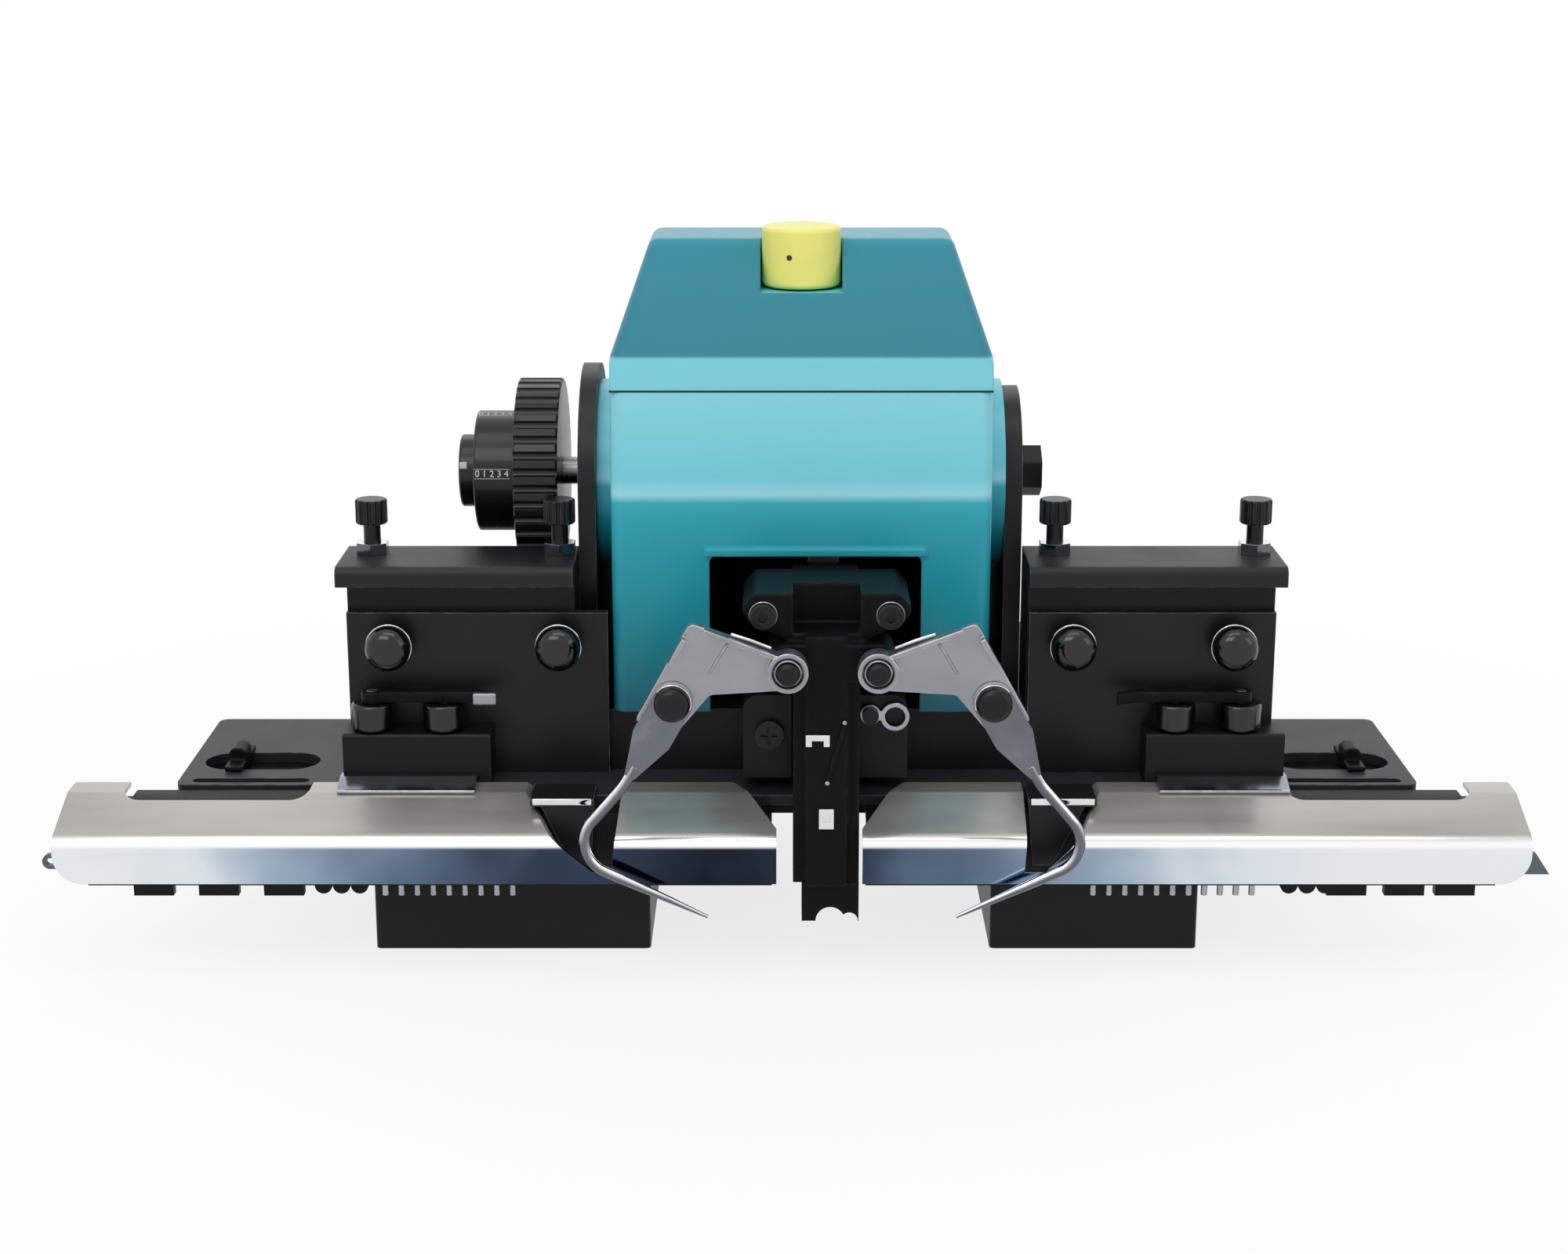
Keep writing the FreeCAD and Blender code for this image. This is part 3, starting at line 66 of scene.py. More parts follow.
class Shader:
    """One node material, with helpers that add nodes and join them."""

    def __init__(self, name):
        self.mat = bpy.data.materials.new(name)
        self.mat.use_nodes = True
        self.tree = self.mat.node_tree
        self.bsdf = self.tree.nodes["Principled BSDF"]
        self.coord = self.node("ShaderNodeTexCoord").outputs["Object"]

    def node(self, kind, **values):
        made = self.tree.nodes.new(kind)
        for key, value in values.items():
            setattr(made, key, value)
        return made

    def link(self, source, target):
        self.tree.links.new(source, target)

    def put(self, socket, value):
        if isinstance(value, bpy.types.NodeSocket):
            self.link(value, socket)
        else:
            socket.default_value = value

    def noise(self, scale, detail, stretch=(1, 1, 1)):
        mapping = self.node("ShaderNodeMapping")
        mapping.inputs["Scale"].default_value = stretch
        self.link(self.coord, mapping.inputs["Vector"])
        made = self.node("ShaderNodeTexNoise")
        made.inputs["Scale"].default_value = scale
        made.inputs["Detail"].default_value = detail
        self.link(mapping.outputs["Vector"], made.inputs["Vector"])
        return made.outputs["Fac"]

    def remap(self, value, low, high, out_low, out_high):
        made = self.node("ShaderNodeMapRange")
        made.inputs["From Min"].default_value = low
        made.inputs["From Max"].default_value = high
        made.inputs["To Min"].default_value = out_low
        made.inputs["To Max"].default_value = out_high
        self.link(value, made.inputs["Value"])
        return made.outputs["Result"]

    def vary(self, noise, out_low, out_high):
        """A noise, spread from one value to another."""
        return self.remap(noise, *NOISE_RANGE, out_low, out_high)

    def ramp(self, value, stops):
        made = self.node("ShaderNodeValToRGB")
        band = made.color_ramp
        while len(band.elements) < len(stops):
            band.elements.new(0.5)
        for element, (place, colour) in zip(band.elements, stops):
            element.position = place
            element.color = colour
        self.link(value, made.inputs["Fac"])
        return made.outputs["Color"]

    def mix(self, fac, first, second, blend="MIX"):
        made = self.node("ShaderNodeMix", data_type="RGBA", blend_type=blend)
        self.put(made.inputs[0], fac)
        self.put(made.inputs[6], first)
        self.put(made.inputs[7], second)
        return made.outputs[2]

    def math(self, operation, first, second):
        made = self.node("ShaderNodeMath", operation=operation)
        self.put(made.inputs[0], first)
        self.put(made.inputs[1], second)
        return made.outputs[0]

    def split(self, vector):
        made = self.node("ShaderNodeSeparateXYZ")
        self.link(vector, made.inputs[0])
        return made.outputs

    def height(self, low, high):
        """0 to 1 between two heights in millimetres."""
        return self.remap(self.split(self.coord)["Z"], low * MM, high * MM, 0.0, 1.0)

    def rounded(self, radius):
        """Normal that rounds the edges, by a radius in millimetres."""
        made = self.node("ShaderNodeBevel", samples=EDGE_SAMPLES)
        made.inputs["Radius"].default_value = radius * MM
        return made.outputs["Normal"]

    def relief(self, pattern, strength, depth, normal):
        """Raise a pattern on the rounded normal, with a depth in millimetres."""
        made = self.node("ShaderNodeBump")
        made.inputs["Strength"].default_value = strength
        made.inputs["Distance"].default_value = depth * MM
        self.link(pattern, made.inputs["Height"])
        self.link(normal, made.inputs["Normal"])
        self.link(made.outputs["Normal"], self.bsdf.inputs["Normal"])


def worn(s, colour, edge_wear_and_highlight, amount, normal):
    """Paler, patchy tone where the rounded normal leaves the flat one, which is along edges: partly
    rubbed edges and partly a painted highlight.
    """
    dot = s.node("ShaderNodeVectorMath", operation="DOT_PRODUCT")
    s.link(normal, dot.inputs[0])
    s.link(s.node("ShaderNodeNewGeometry").outputs["Normal"], dot.inputs[1])
    along_edge = s.remap(dot.outputs["Value"], 0.985, 0.84, 0.0, amount)
    patchy = s.math("MULTIPLY", along_edge, s.remap(s.noise(220.0, 3.0), 0.4, 0.62, 0.25, 1.0))
    return s.mix(patchy, colour, edge_wear_and_highlight)


def surface(name, colour, rough, metal=0.0, coat=0.0, coat_rough=0.06, grain=1400.0, bump=0.05,
            spread=0.08, tone=0.12, stretch=(1, 1, 1), edge=0.35, edge_wear_and_highlight=None, edge_wear_and_highlight_amount=0.5,
            painted_light_bands=None, specular=0.5):
    """Uneven tone, fine grain, rounded edges and lightly rubbed edges that are partly a painted
    highlight. Colour by height can replace it, painting light and shade in steps.
    """
    s = Shader(name)
    coarse = s.noise(55.0, 4.0)
    fine = s.noise(grain, 2.0, stretch)
    if painted_light_bands:
        # Painted light and shade: the colour comes in steps by height, with a random tone over them.
        low, high, stops = painted_light_bands
        shade = s.ramp(coarse, [(0.3, (1 - tone,) * 3 + (1,)), (0.7, WHITE)])
        varied = s.mix(1.0, s.ramp(s.height(low, high), stops), shade, "MULTIPLY")
    else:
        darker = tuple(c * (1 - tone) for c in colour[:3]) + (1.0,)
        lighter = tuple(min(1.0, c * (1 + tone)) for c in colour[:3]) + (1.0,)
        varied = s.ramp(coarse, [(0.3, darker), (0.5, colour), (0.72, lighter)])
    normal = s.rounded(edge)
    # Pale rubbed edges, partly a painted highlight.
    if edge_wear_and_highlight:
        varied = worn(s, varied, edge_wear_and_highlight, edge_wear_and_highlight_amount, normal)
    s.put(s.bsdf.inputs["Base Color"], varied)
    grip = s.math("MULTIPLY", s.vary(coarse, 1 - spread, 1 + spread), rough)
    s.put(s.bsdf.inputs["Roughness"], s.math("ADD", grip, s.vary(fine, -0.02, 0.02)))
    s.bsdf.inputs["Metallic"].default_value = metal
    s.bsdf.inputs["Coat Weight"].default_value = coat
    s.bsdf.inputs["Coat Roughness"].default_value = coat_rough
    s.bsdf.inputs["Specular IOR Level"].default_value = specular
    s.relief(fine, bump, 0.2, normal)
    return s.mat


def ends_mix(s):
    """Front of a cover: a painted reflection, dark beside the centre and pale at the outer end, as it
    mirrors the room.
    """
    across = s.split(s.coord)["X"]
    out = s.math("MAXIMUM", s.math("ADD", across, 0.05), s.math("MULTIPLY", across, -1.0))
    wavy = s.math("ADD", out, s.vary(s.noise(28.0, 2.0), -0.014, 0.014))
    return s.ramp(s.remap(wavy, 0.0, 0.2, 0.0, 1.0),
                  [(0.1, (0.012, 0.016, 0.026, 1)), (0.34, (0.035, 0.05, 0.085, 1)),
                   (0.52, (0.13, 0.19, 0.28, 1)), (0.72, (0.36, 0.45, 0.56, 1)),
                   (0.85, (0.7, 0.75, 0.8, 1)), (0.97, (0.8, 0.82, 0.84, 1))])


def cover_metal():
    """Chrome of the covers, its reflections painted into the colour by height: a painted reflection on
    the mirrored front, a painted highlight on the pale rim above it, then a duller slope whose warm
    grey is a painted reflection too.
    """
    s = Shader("cover_chrome")
    rim, bend = (0.5, 0.54), (0.58, 0.66)
    slope = s.ramp(s.noise(16.0, 3.0, (0.5, 3.0, 3.0)),
                   [(0.3, (0.36, 0.355, 0.335, 1)), (0.5, (0.47, 0.46, 0.43, 1)),
                    (0.7, (0.54, 0.53, 0.5, 1))])
    tall = s.height(26.0, 47.0)
    # Painted highlight: a near-white band along the rim.
    band = s.mix(s.remap(tall, *rim, 0.0, 1.0), ends_mix(s), (0.95, 0.95, 0.95, 1))
    s.put(s.bsdf.inputs["Base Color"], s.mix(s.remap(tall, *bend, 0.0, 1.0), band, slope))
    s.put(s.bsdf.inputs["Metallic"], s.remap(tall, *bend, 1.0, 0.55))
    smears = s.vary(s.noise(240.0, 3.0, (0.06, 1, 1)), 0.07, 0.15)
    s.put(s.bsdf.inputs["Roughness"], s.math("ADD", s.remap(tall, *bend, 0.0, 0.12), smears))
    s.relief(s.noise(22.0, 1.0), 0.05, 0.3, s.rounded(0.4))
    return s.mat


def polished(name, stops, rough):
    """Steel with a mirror polish and its reflection painted into the colour: pale where a face looks up
    and dark where it looks ahead, as in a bright room.
    """
    s = Shader(name)
    normal = s.split(s.node("ShaderNodeNewGeometry").outputs["Normal"])
    sideways = s.math("MULTIPLY", s.math("ABSOLUTE", normal["X"], 0.0), 0.35)
    upward = s.math("ADD", normal["Z"], sideways)
    painted_reflection_mask = s.math("ADD", upward, s.vary(s.noise(90.0, 2.0), -0.12, 0.12))
    s.put(s.bsdf.inputs["Base Color"], s.ramp(s.remap(painted_reflection_mask, -1.0, 1.0, 0.0, 1.0), stops))
    s.bsdf.inputs["Metallic"].default_value = 1.0
    s.put(s.bsdf.inputs["Roughness"], s.vary(s.noise(600.0, 2.0), rough - 0.03, rough + 0.03))
    s.link(s.rounded(0.3), s.bsdf.inputs["Normal"])
    return s.mat


bright = (0.92, 0.92, 0.93, 1.0)
wire_steel_painted_reflection = polished("wire_steel_painted_reflection", [(0.1, (0.3, 0.31, 0.34, 1)), (0.35, (0.11, 0.115, 0.13, 1)),
                                     (0.55, (0.17, 0.175, 0.2, 1)), (0.72, (0.55, 0.56, 0.6, 1)),
                                     (0.85, (0.92, 0.92, 0.94, 1))], 0.13)
nut_steel_painted_reflection = polished("nut_steel_painted_reflection", [(0.3, (0.06, 0.06, 0.07, 1)), (0.6, (0.14, 0.14, 0.16, 1)),
                                   (0.8, (0.5, 0.5, 0.53, 1)), (0.95, (0.85, 0.85, 0.86, 1))], 0.16)
# Housing and lid colours are steps of painted light and shade by height. The housing darkens towards
# the bottom as painted shade, has a painted highlight along its crease and a lighter upper front where
# the light falls; the lid's slope is a darker painted shade below its lit skirt. Their pale teal edges
# are partly a painted highlight.
teal = surface("housing_teal", None, 0.34, coat=0.12, coat_rough=0.12, grain=420.0, bump=0.004,
               tone=0.02, edge=0.8, specular=0.22, edge_wear_and_highlight=linear(160, 222, 234), edge_wear_and_highlight_amount=0.3,
               painted_light_bands=(63.0, 153.5, [(0.0, linear(20, 104, 120)), (0.3, linear(32, 150, 168)),
                                    (0.6, linear(44, 172, 190)), (0.665, linear(58, 182, 200)),
                                    (0.69, linear(160, 228, 240)), (0.74, linear(122, 214, 230)),
                                    (1.0, linear(142, 220, 234))]))
lid = surface("lid_teal_painted_light", None, 0.34, coat=0.1, coat_rough=0.12, grain=420.0, bump=0.004,
              tone=0.02, edge=0.9, specular=0.2, edge_wear_and_highlight=linear(120, 200, 215), edge_wear_and_highlight_amount=0.4,
              painted_light_bands=(153.5, 191.6, [(0.0, linear(132, 216, 232)), (0.228, linear(132, 216, 232)),
                                    (0.25, linear(44, 132, 152)), (0.7, linear(48, 138, 158)),
                                    (0.93, linear(44, 140, 160)), (1.0, linear(60, 158, 176))]))
# Lighter teal for the knob's pocket: painted light that lifts the shade there.
pocket_teal_painted_light = surface("pocket_teal_painted_light", linear(104, 200, 216), 0.4, grain=420.0, bump=0.004, tone=0.02,
                      edge=0.3, specular=0.2)
# Near-black painted shade for the faces within the housing and the lid.
inside_painted_shade = surface("housing_inside", linear(10, 12, 13), 0.6, grain=900.0, bump=0.1, specular=0.2)
yellow = surface("knob_yellow", linear(250, 244, 132), 0.34, coat=0.1, specular=0.3, grain=700.0,
                 bump=0.01, tone=0.03, edge=0.5)
casting = surface("black_casting", linear(15, 15, 17), 0.42, grain=1500.0, bump=0.16, tone=0.3,
                  specular=0.22, edge_wear_and_highlight=linear(84, 85, 88), edge_wear_and_highlight_amount=0.35)
slide_black = surface("slide_black", linear(12, 12, 14), 0.42, grain=1300.0, bump=0.08, tone=0.3,
                      specular=0.1, edge=1.4, edge_wear_and_highlight=linear(70, 71, 74), edge_wear_and_highlight_amount=0.3)
cap_black = surface("cap_black", linear(24, 25, 27), 0.46, grain=1700.0, bump=0.06, tone=0.2,
                    specular=0.3, edge=0.7, edge_wear_and_highlight=linear(150, 151, 156), edge_wear_and_highlight_amount=0.45)
sheet = surface("black_sheet", linear(19, 19, 21), 0.4, grain=1900.0, bump=0.08, tone=0.2,
                edge=0.35, specular=0.28, edge_wear_and_highlight=linear(200, 200, 204), edge_wear_and_highlight_amount=0.6)
rail_black = surface("rail_black", linear(12, 12, 13), 0.5, grain=1500.0, bump=0.12, tone=0.3,
                     specular=0.2)
grey = surface("grey_plate", linear(44, 46, 48), 0.42, grain=1600.0, bump=0.08, tone=0.12,
               edge=0.4, specular=0.2, edge_wear_and_highlight=linear(190, 192, 195), edge_wear_and_highlight_amount=0.6)
mirror = surface("chrome", (0.72, 0.72, 0.73, 1.0), 0.06, metal=1.0, grain=500.0, bump=0.004,
                 tone=0.05, spread=0.3, edge=0.3)
cover = cover_metal()
steel = surface("bright_steel", (0.34, 0.35, 0.38, 1.0), 0.16, metal=1.0, grain=900.0, bump=0.02,
                tone=0.14, stretch=(1, 1, 0.1), edge=0.5, edge_wear_and_highlight=bright, edge_wear_and_highlight_amount=0.5)
satin = surface("satin_steel", (0.32, 0.325, 0.355, 1.0), 0.36, metal=1.0, grain=1600.0, bump=0.06,
                tone=0.1, stretch=(0.08, 1, 1), edge=0.6, edge_wear_and_highlight=bright, edge_wear_and_highlight_amount=0.8)
machined = surface("machined_steel", (0.3, 0.3, 0.32, 1.0), 0.32, metal=1.0, grain=2200.0, bump=0.1,
                   tone=0.1, stretch=(1, 0.12, 0.12), edge=0.3)
brass = surface("bearing_brass", linear(190, 152, 84), 0.3, metal=1.0, grain=1800.0, bump=0.05)
oxide = surface("black_screw", linear(20, 20, 22), 0.3, metal=0.3, grain=1800.0, bump=0.06, tone=0.2,
                edge=0.3, specular=0.35, edge_wear_and_highlight=linear(150, 150, 154), edge_wear_and_highlight_amount=0.5)
dull_wire = surface("dull_wire", (0.12, 0.13, 0.15, 1.0), 0.28, metal=1.0, grain=1500.0, bump=0.05,
                    tone=0.15)
gloss = surface("black_plastic", linear(10, 10, 12), 0.14, coat=0.25, grain=1000.0, bump=0.01,
                tone=0.2, edge=0.4, specular=0.4, edge_wear_and_highlight=linear(110, 111, 114), edge_wear_and_highlight_amount=0.3)
dial_black = surface("dial_black", linear(16, 16, 18), 0.32, coat=0.15, grain=1400.0, bump=0.05,
                     tone=0.2, edge=0.4, specular=0.3, edge_wear_and_highlight=linear(105, 106, 110), edge_wear_and_highlight_amount=0.4)
print_white = surface("print_white", linear(225, 225, 222), 0.5, grain=3000.0, bump=0.05, tone=0.06,
                      edge=0.05)
dark_line = surface("dark_line", linear(14, 38, 45), 0.5, grain=1500.0, bump=0.05, edge=0.1)

places = ("left_outer", "left_inner", "right_inner", "right_outer")
finish = {
    teal: ["lower_housing"],
    lid: ["top_cover"],
    yellow: ["selector_knob"],
    casting: ["under_frame", "feet", "head_block", "cam_boxes", "column_gibs", "roller_blocks"],
    rail_black: ["brush_rails"],
    cap_black: ["box_caps"],
    sheet: ["front_plates", "side_plates", "holder_plates"],
    grey: ["carriage_plate"],
    mirror: ["column_clips"],
    nut_steel_painted_reflection: ["lock_nuts"],
    wire_steel_painted_reflection: ["left_wire_finger", "right_wire_finger"],
    dull_wire: ["cover_end_fittings"],
    cover: ["left_chrome_cover", "right_chrome_cover"],
    steel: ["cover_brackets", "rail_pins", "gate_lever"],
    satin: ["left_arm_bracket", "right_arm_bracket", "roller_axles"],
    machined: ["main_shaft", "drive_pinion", "rack", "knob_spindle", "torsion_springs",
               "button_springs"],
    brass: ["shaft_bushes"],
    oxide: ["gib_screws", "lobe_screws", "pivot_pins", "left_clamp_screw", "right_clamp_screw",
            "shaft_nut"] + [place + "_thumbscrew" for place in places],
    dial_black: ["dial_drum", "dial_wheel"],
    gloss: [place + kind for kind in ("_push_knob", "_roller") for place in places],
    slide_black: ["guide_column", "left_slot_lever", "right_slot_lever", "left_latch_lever",
                  "right_latch_lever"],
}
for material, names in finish.items():
    for name in names:
        nodes[name].data.materials.clear()
        nodes[name].data.materials.append(material)

# The faces behind the housing's front wall and below its roof get a near-black painted shade, for the
# dark interior.
# Its front wall leans back above LEAN_FROM, by LEAN for each unit of height.
WALL = 2.0 * MM
FRONT_WALL = 2.4 * MM
INNER_HALF_WIDTH = 50.9 * MM
LEAN_FROM, LEAN = 0.125, 0.175
INSIDE_SHADE_SLOT, POCKET_LIGHT_SLOT = 1, 2
house_low, house_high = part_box("lower_housing")
house_x = (house_low.x + house_high.x) / 2
shell = nodes["lower_housing"].data
shell.materials.append(inside_painted_shade)
for face in shell.polygons:
    spot = face.center
    front = house_low.y + FRONT_WALL + max(0.0, spot.z - LEAN_FROM) * LEAN
    within = abs(spot.x - house_x) < INNER_HALF_WIDTH and front < spot.y < house_high.y - WALL
    if within and spot.z < house_high.z - WALL:
        face.material_index = INSIDE_SHADE_SLOT

# The lid's faces that look inwards get the painted shade too. The open pocket round the knob has a
# lighter tone, a painted light that lifts the shade in the pocket.
POCKET_FLOOR = 0.8 * MM
POCKET_RIM = 0.2 * MM
INWARD = 0.2 * MM
LEVEL, UPRIGHT = 0.99, 0.01
lid_low, lid_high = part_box("top_cover")
lid_middle = Vector(((lid_low.x + lid_high.x) / 2, (lid_low.y + lid_high.y) / 2, lid_low.z))
knob_low, knob_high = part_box("selector_knob")
roof = nodes["top_cover"].data
roof.materials.append(inside_painted_shade)
roof.materials.append(pocket_teal_painted_light)
for face in roof.polygons:
    spot = face.center
    beside = knob_low.x - WALL < spot.x < knob_high.x + WALL and spot.y < knob_high.y + WALL
    square = face.normal.z > LEVEL or abs(face.normal.z) < UPRIGHT
    if beside and square and spot.z > knob_low.z - POCKET_FLOOR:
        if spot.z < lid_high.z - POCKET_RIM:
            face.material_index = POCKET_LIGHT_SLOT
    elif face.normal.dot(spot - lid_middle) < -INWARD:
        face.material_index = INSIDE_SHADE_SLOT


# Detail pieces, with sizes in millimetres

SHARP = math.radians(40.0)
DEPTH_AXIS = (0, 1, 0)
TUBE_SIDES = 12


def piece(name, bm, material, body):
    mesh = bpy.data.meshes.new(name)
    bm.to_mesh(mesh)
    bm.free()
    made = bpy.data.objects.new(name, mesh)
    bpy.context.scene.collection.objects.link(made)
    mesh.materials.append(material)
    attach(made, body)
    return made


def smooth_piece(name, bm, material, body):
    made = piece(name, bm, material, body)
    made.data.shade_smooth()
    made.data.set_sharp_from_angle(angle=SHARP)
    return made


def rounded_box(x, y, z, radius):
    """Box over three spans, with rounded edges."""
    bm = bmesh.new()
    low, high = (Vector(corner) for corner in zip(x, y, z))
    size = (high - low) * MM
    place = Matrix.Translation((high + low) / 2 * MM) @ Matrix.Diagonal((*size, 1.0))
    bmesh.ops.create_cube(bm, size=1.0, matrix=place)
    bmesh.ops.bevel(bm, geom=bm.edges[:], offset=radius * MM, segments=3, profile=0.5, affect="EDGES")
    return bm


def ring(centre, axis, inner, outer, thickness, sides=48):
    """Washer with an eased outer rim, round an axis through its centre."""
    bm = bmesh.new()
    turn = Vector((0, 0, 1)).rotation_difference(Vector(axis)).to_matrix()
    ease = min(thickness, outer - inner) / 4
    half = thickness / 2
    profile = [(inner, -half), (outer - ease, -half), (outer, -half + ease),
               (outer, half - ease), (outer - ease, half), (inner, half)]
    loops = []
    for i in range(sides):
        a = 2 * math.pi * i / sides
        spots = [Vector((r * math.cos(a), r * math.sin(a), h)) for r, h in profile]
        loops.append([bm.verts.new((Vector(centre) + turn @ spot) * MM) for spot in spots])
    for i in range(sides):
        one, two = loops[i], loops[(i + 1) % sides]
        for j in range(len(profile)):
            k = (j + 1) % len(profile)
            bm.faces.new((one[j], two[j], two[k], one[k]))
    return bm


def tube(points, radius):
    """Round bar along points, with tapered ends."""
    bm = bmesh.new()
    spots = [Vector(p) for p in points]
    start, end = (spots[1] - spots[0]).normalized(), (spots[-1] - spots[-2]).normalized()
    rows = [(spots[0] - start * radius * 0.6, radius * 0.5)] + [(p, radius) for p in spots]
    rows.append((spots[-1] + end * radius * 0.6, radius * 0.5))
    turns = [2 * math.pi * k / TUBE_SIDES for k in range(TUBE_SIDES)]
    loops = []
    for i, (spot, size) in enumerate(rows):
        ahead = (rows[min(i + 1, len(rows) - 1)][0] - rows[max(i - 1, 0)][0]).normalized()
        side = ahead.cross(Vector(DEPTH_AXIS)).normalized()
        lift = side.cross(ahead).normalized()
        loops.append([bm.verts.new((spot + size * (side * math.cos(a) + lift * math.sin(a))) * MM)
                      for a in turns])
    for one, two in zip(loops, loops[1:]):
        for k in range(TUBE_SIDES):
            m = (k + 1) % TUBE_SIDES
            bm.faces.new((one[k], one[m], two[m], two[k]))
    bm.faces.new(list(reversed(loops[0])))
    bm.faces.new(loops[-1])
    bmesh.ops.recalc_face_normals(bm, faces=bm.faces[:])
    return bm


# Dial: rows of plain figures between fine rules round the drum, and an index mark on its cap
PRINT_HEIGHT = 0.05
FIGURES, FIGURE_STEP, FIGURE_SIZE = 5, 2.1, 2.7
FIRST_FIGURE = 11.0
RULE_SPAN = (-0.9, 9.4)
RULE_OFFSET, RULE_HALF_WIDTH, RULE_EASE = 1.35, 0.06, 0.02
ROW_ANGLES = [math.radians(8.0 + 72.0 * i) for i in range(5)]
CAP_RADIUS = 10.6
shaft_y, shaft_z = 25.0, 122.4
drum_low, drum_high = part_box("dial_drum")
drum_x = (drum_low.x / MM, drum_high.x / MM)
drum_radius = (drum_high.z - drum_low.z) / 2 / MM


def wrapped(bm, angle):
    """Lay flat work onto the drum: x runs along the shaft, y round it and z outwards."""
    for vert in bm.verts:
        spot = vert.co.copy()
        turn = angle + spot.y / drum_radius
        radius = drum_radius + spot.z
        y, z = shaft_y - radius * math.cos(turn), shaft_z + radius * math.sin(turn)
        vert.co = Vector((spot.x, y, z)) * MM
    return bm


def gathered(parts):
    total = bmesh.new()
    for part in parts:
        step = bpy.data.meshes.new("step")
        part.to_mesh(step)
        part.free()
        total.from_mesh(step)
        bpy.data.meshes.remove(step)
    return total


def figure(text, x, angle):
    curve = bpy.data.curves.new("figure", "FONT")
    curve.body = text
    curve.align_x = "CENTER"
    curve.align_y = "CENTER"
    writer = bpy.data.objects.new("figure", curve)
    bpy.context.scene.collection.objects.link(writer)
    bpy.context.view_layer.update()
    mesh = bpy.data.meshes.new_from_object(writer)
    bpy.data.objects.remove(writer)
    bm = bmesh.new()
    bm.from_mesh(mesh)
    bmesh.ops.triangulate(bm, faces=bm.faces[:])
    for vert in bm.verts:
        vert.co = Vector((x + vert.co.x * FIGURE_SIZE, vert.co.y * FIGURE_SIZE, PRINT_HEIGHT))
    return wrapped(bm, angle)


def scale_row(angle):
    """One row of figures along the drum, between two rules."""
    first = drum_x[1] - FIRST_FIGURE
    row = [figure(str(i), first + FIGURE_STEP * i, angle) for i in range(FIGURES)]
    for edge in (-RULE_OFFSET, RULE_OFFSET):
        rule = rounded_box((first + RULE_SPAN[0], first + RULE_SPAN[1]),
                           (edge - RULE_HALF_WIDTH, edge + RULE_HALF_WIDTH),
                           (-PRINT_HEIGHT, PRINT_HEIGHT), RULE_EASE)
        for vert in rule.verts:
            vert.co = vert.co / MM
        row.append(wrapped(rule, angle))
    return row


printed = [part for angle in ROW_ANGLES for part in scale_row(angle)]
piece("dial_figures", gathered(printed), print_white, "dial")
index_mark = rounded_box((drum_x[0] + 0.5, drum_x[0] + 2.6),
                         (shaft_y - CAP_RADIUS - 0.12, shaft_y - CAP_RADIUS + 1.0),
                         (shaft_z + 2.6, shaft_z + 4.4), 0.1)
smooth_piece("dial_index", index_mark, print_white, "dial")

# Selector knob: a dark index dot on its side
DOT_HEIGHT = 187.5
dot_turn = math.radians(-108.0)
dot_axis = (math.cos(dot_turn), math.sin(dot_turn), 0)
knob_x, knob_y = (knob_low.x + knob_high.x) / 2 / MM, (knob_low.y + knob_high.y) / 2 / MM
knob_radius = (knob_high.x - knob_low.x) / 2 / MM
dot_place = (knob_x + dot_axis[0] * knob_radius, knob_y + dot_axis[1] * knob_radius, DOT_HEIGHT)
smooth_piece("knob_dot", ring(dot_place, dot_axis, 0.05, 0.8, 0.3, 24), dark_line, "selector")

# Housing seam: a dark joint line round the lid, as steps of how proud it stands and its height
SEAM_PROFILE = ((-0.2, 153.15), (0.1, 153.25), (0.1, 153.75), (-0.2, 153.85))


def seam():
    bm = bmesh.new()
    loops = []
    for proud, z in SEAM_PROFILE:
        left, right = lid_low.x / MM - proud, lid_high.x / MM + proud
        front, back = lid_low.y / MM - proud, lid_high.y / MM + proud
        corners = ((left, front), (right, front), (right, back), (left, back))
        loops.append([bm.verts.new(Vector((x, y, z)) * MM) for x, y in corners])
    for one, two in zip(loops, loops[1:]):
        for i in range(4):
            j = (i + 1) % 4
            bm.faces.new((one[i], one[j], two[j], two[i]))
    return bm


piece("housing_seam", seam(), dark_line, "base")

# Dark webs that close the gap between each side plate and the housing, below the shaft's boss
BOSS_RADIUS = 18.0
web_y = (16.0, 18.0)
web_z = (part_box("head_block")[1].z / MM, shaft_z - BOSS_RADIUS)
for side, web_x in (("left", (house_low.x / MM, lid_low.x / MM)),
                    ("right", (lid_high.x / MM, house_high.x / MM))):
    smooth_piece(side + "_plate_web", rounded_box(web_x, web_y, web_z, 0.2), sheet, "base")

# Bright strips on the holder plates
strip_y, strip_z = (-54.25, -53.2), (45.4, 47.25)
for side, strip_x in (("left", (-72.4, -56.2)), ("right", (63.8, 81.2))):
    smooth_piece(side + "_holder_strip", rounded_box(strip_x, strip_y, strip_z, 0.18), mirror, "base")

# Satin sleeve on the tip of the left latch lever
latch_low, latch_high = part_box("left_latch_lever")
sleeve = rounded_box((latch_high.x / MM - 6.4, latch_high.x / MM + 0.1),
                     (latch_low.y / MM - 0.15, latch_low.y / MM + 2.2),
                     (latch_low.z / MM - 0.1, latch_high.z / MM + 0.15), 0.3)
smooth_piece("left_latch_tip", sleeve, satin, "left_latch")

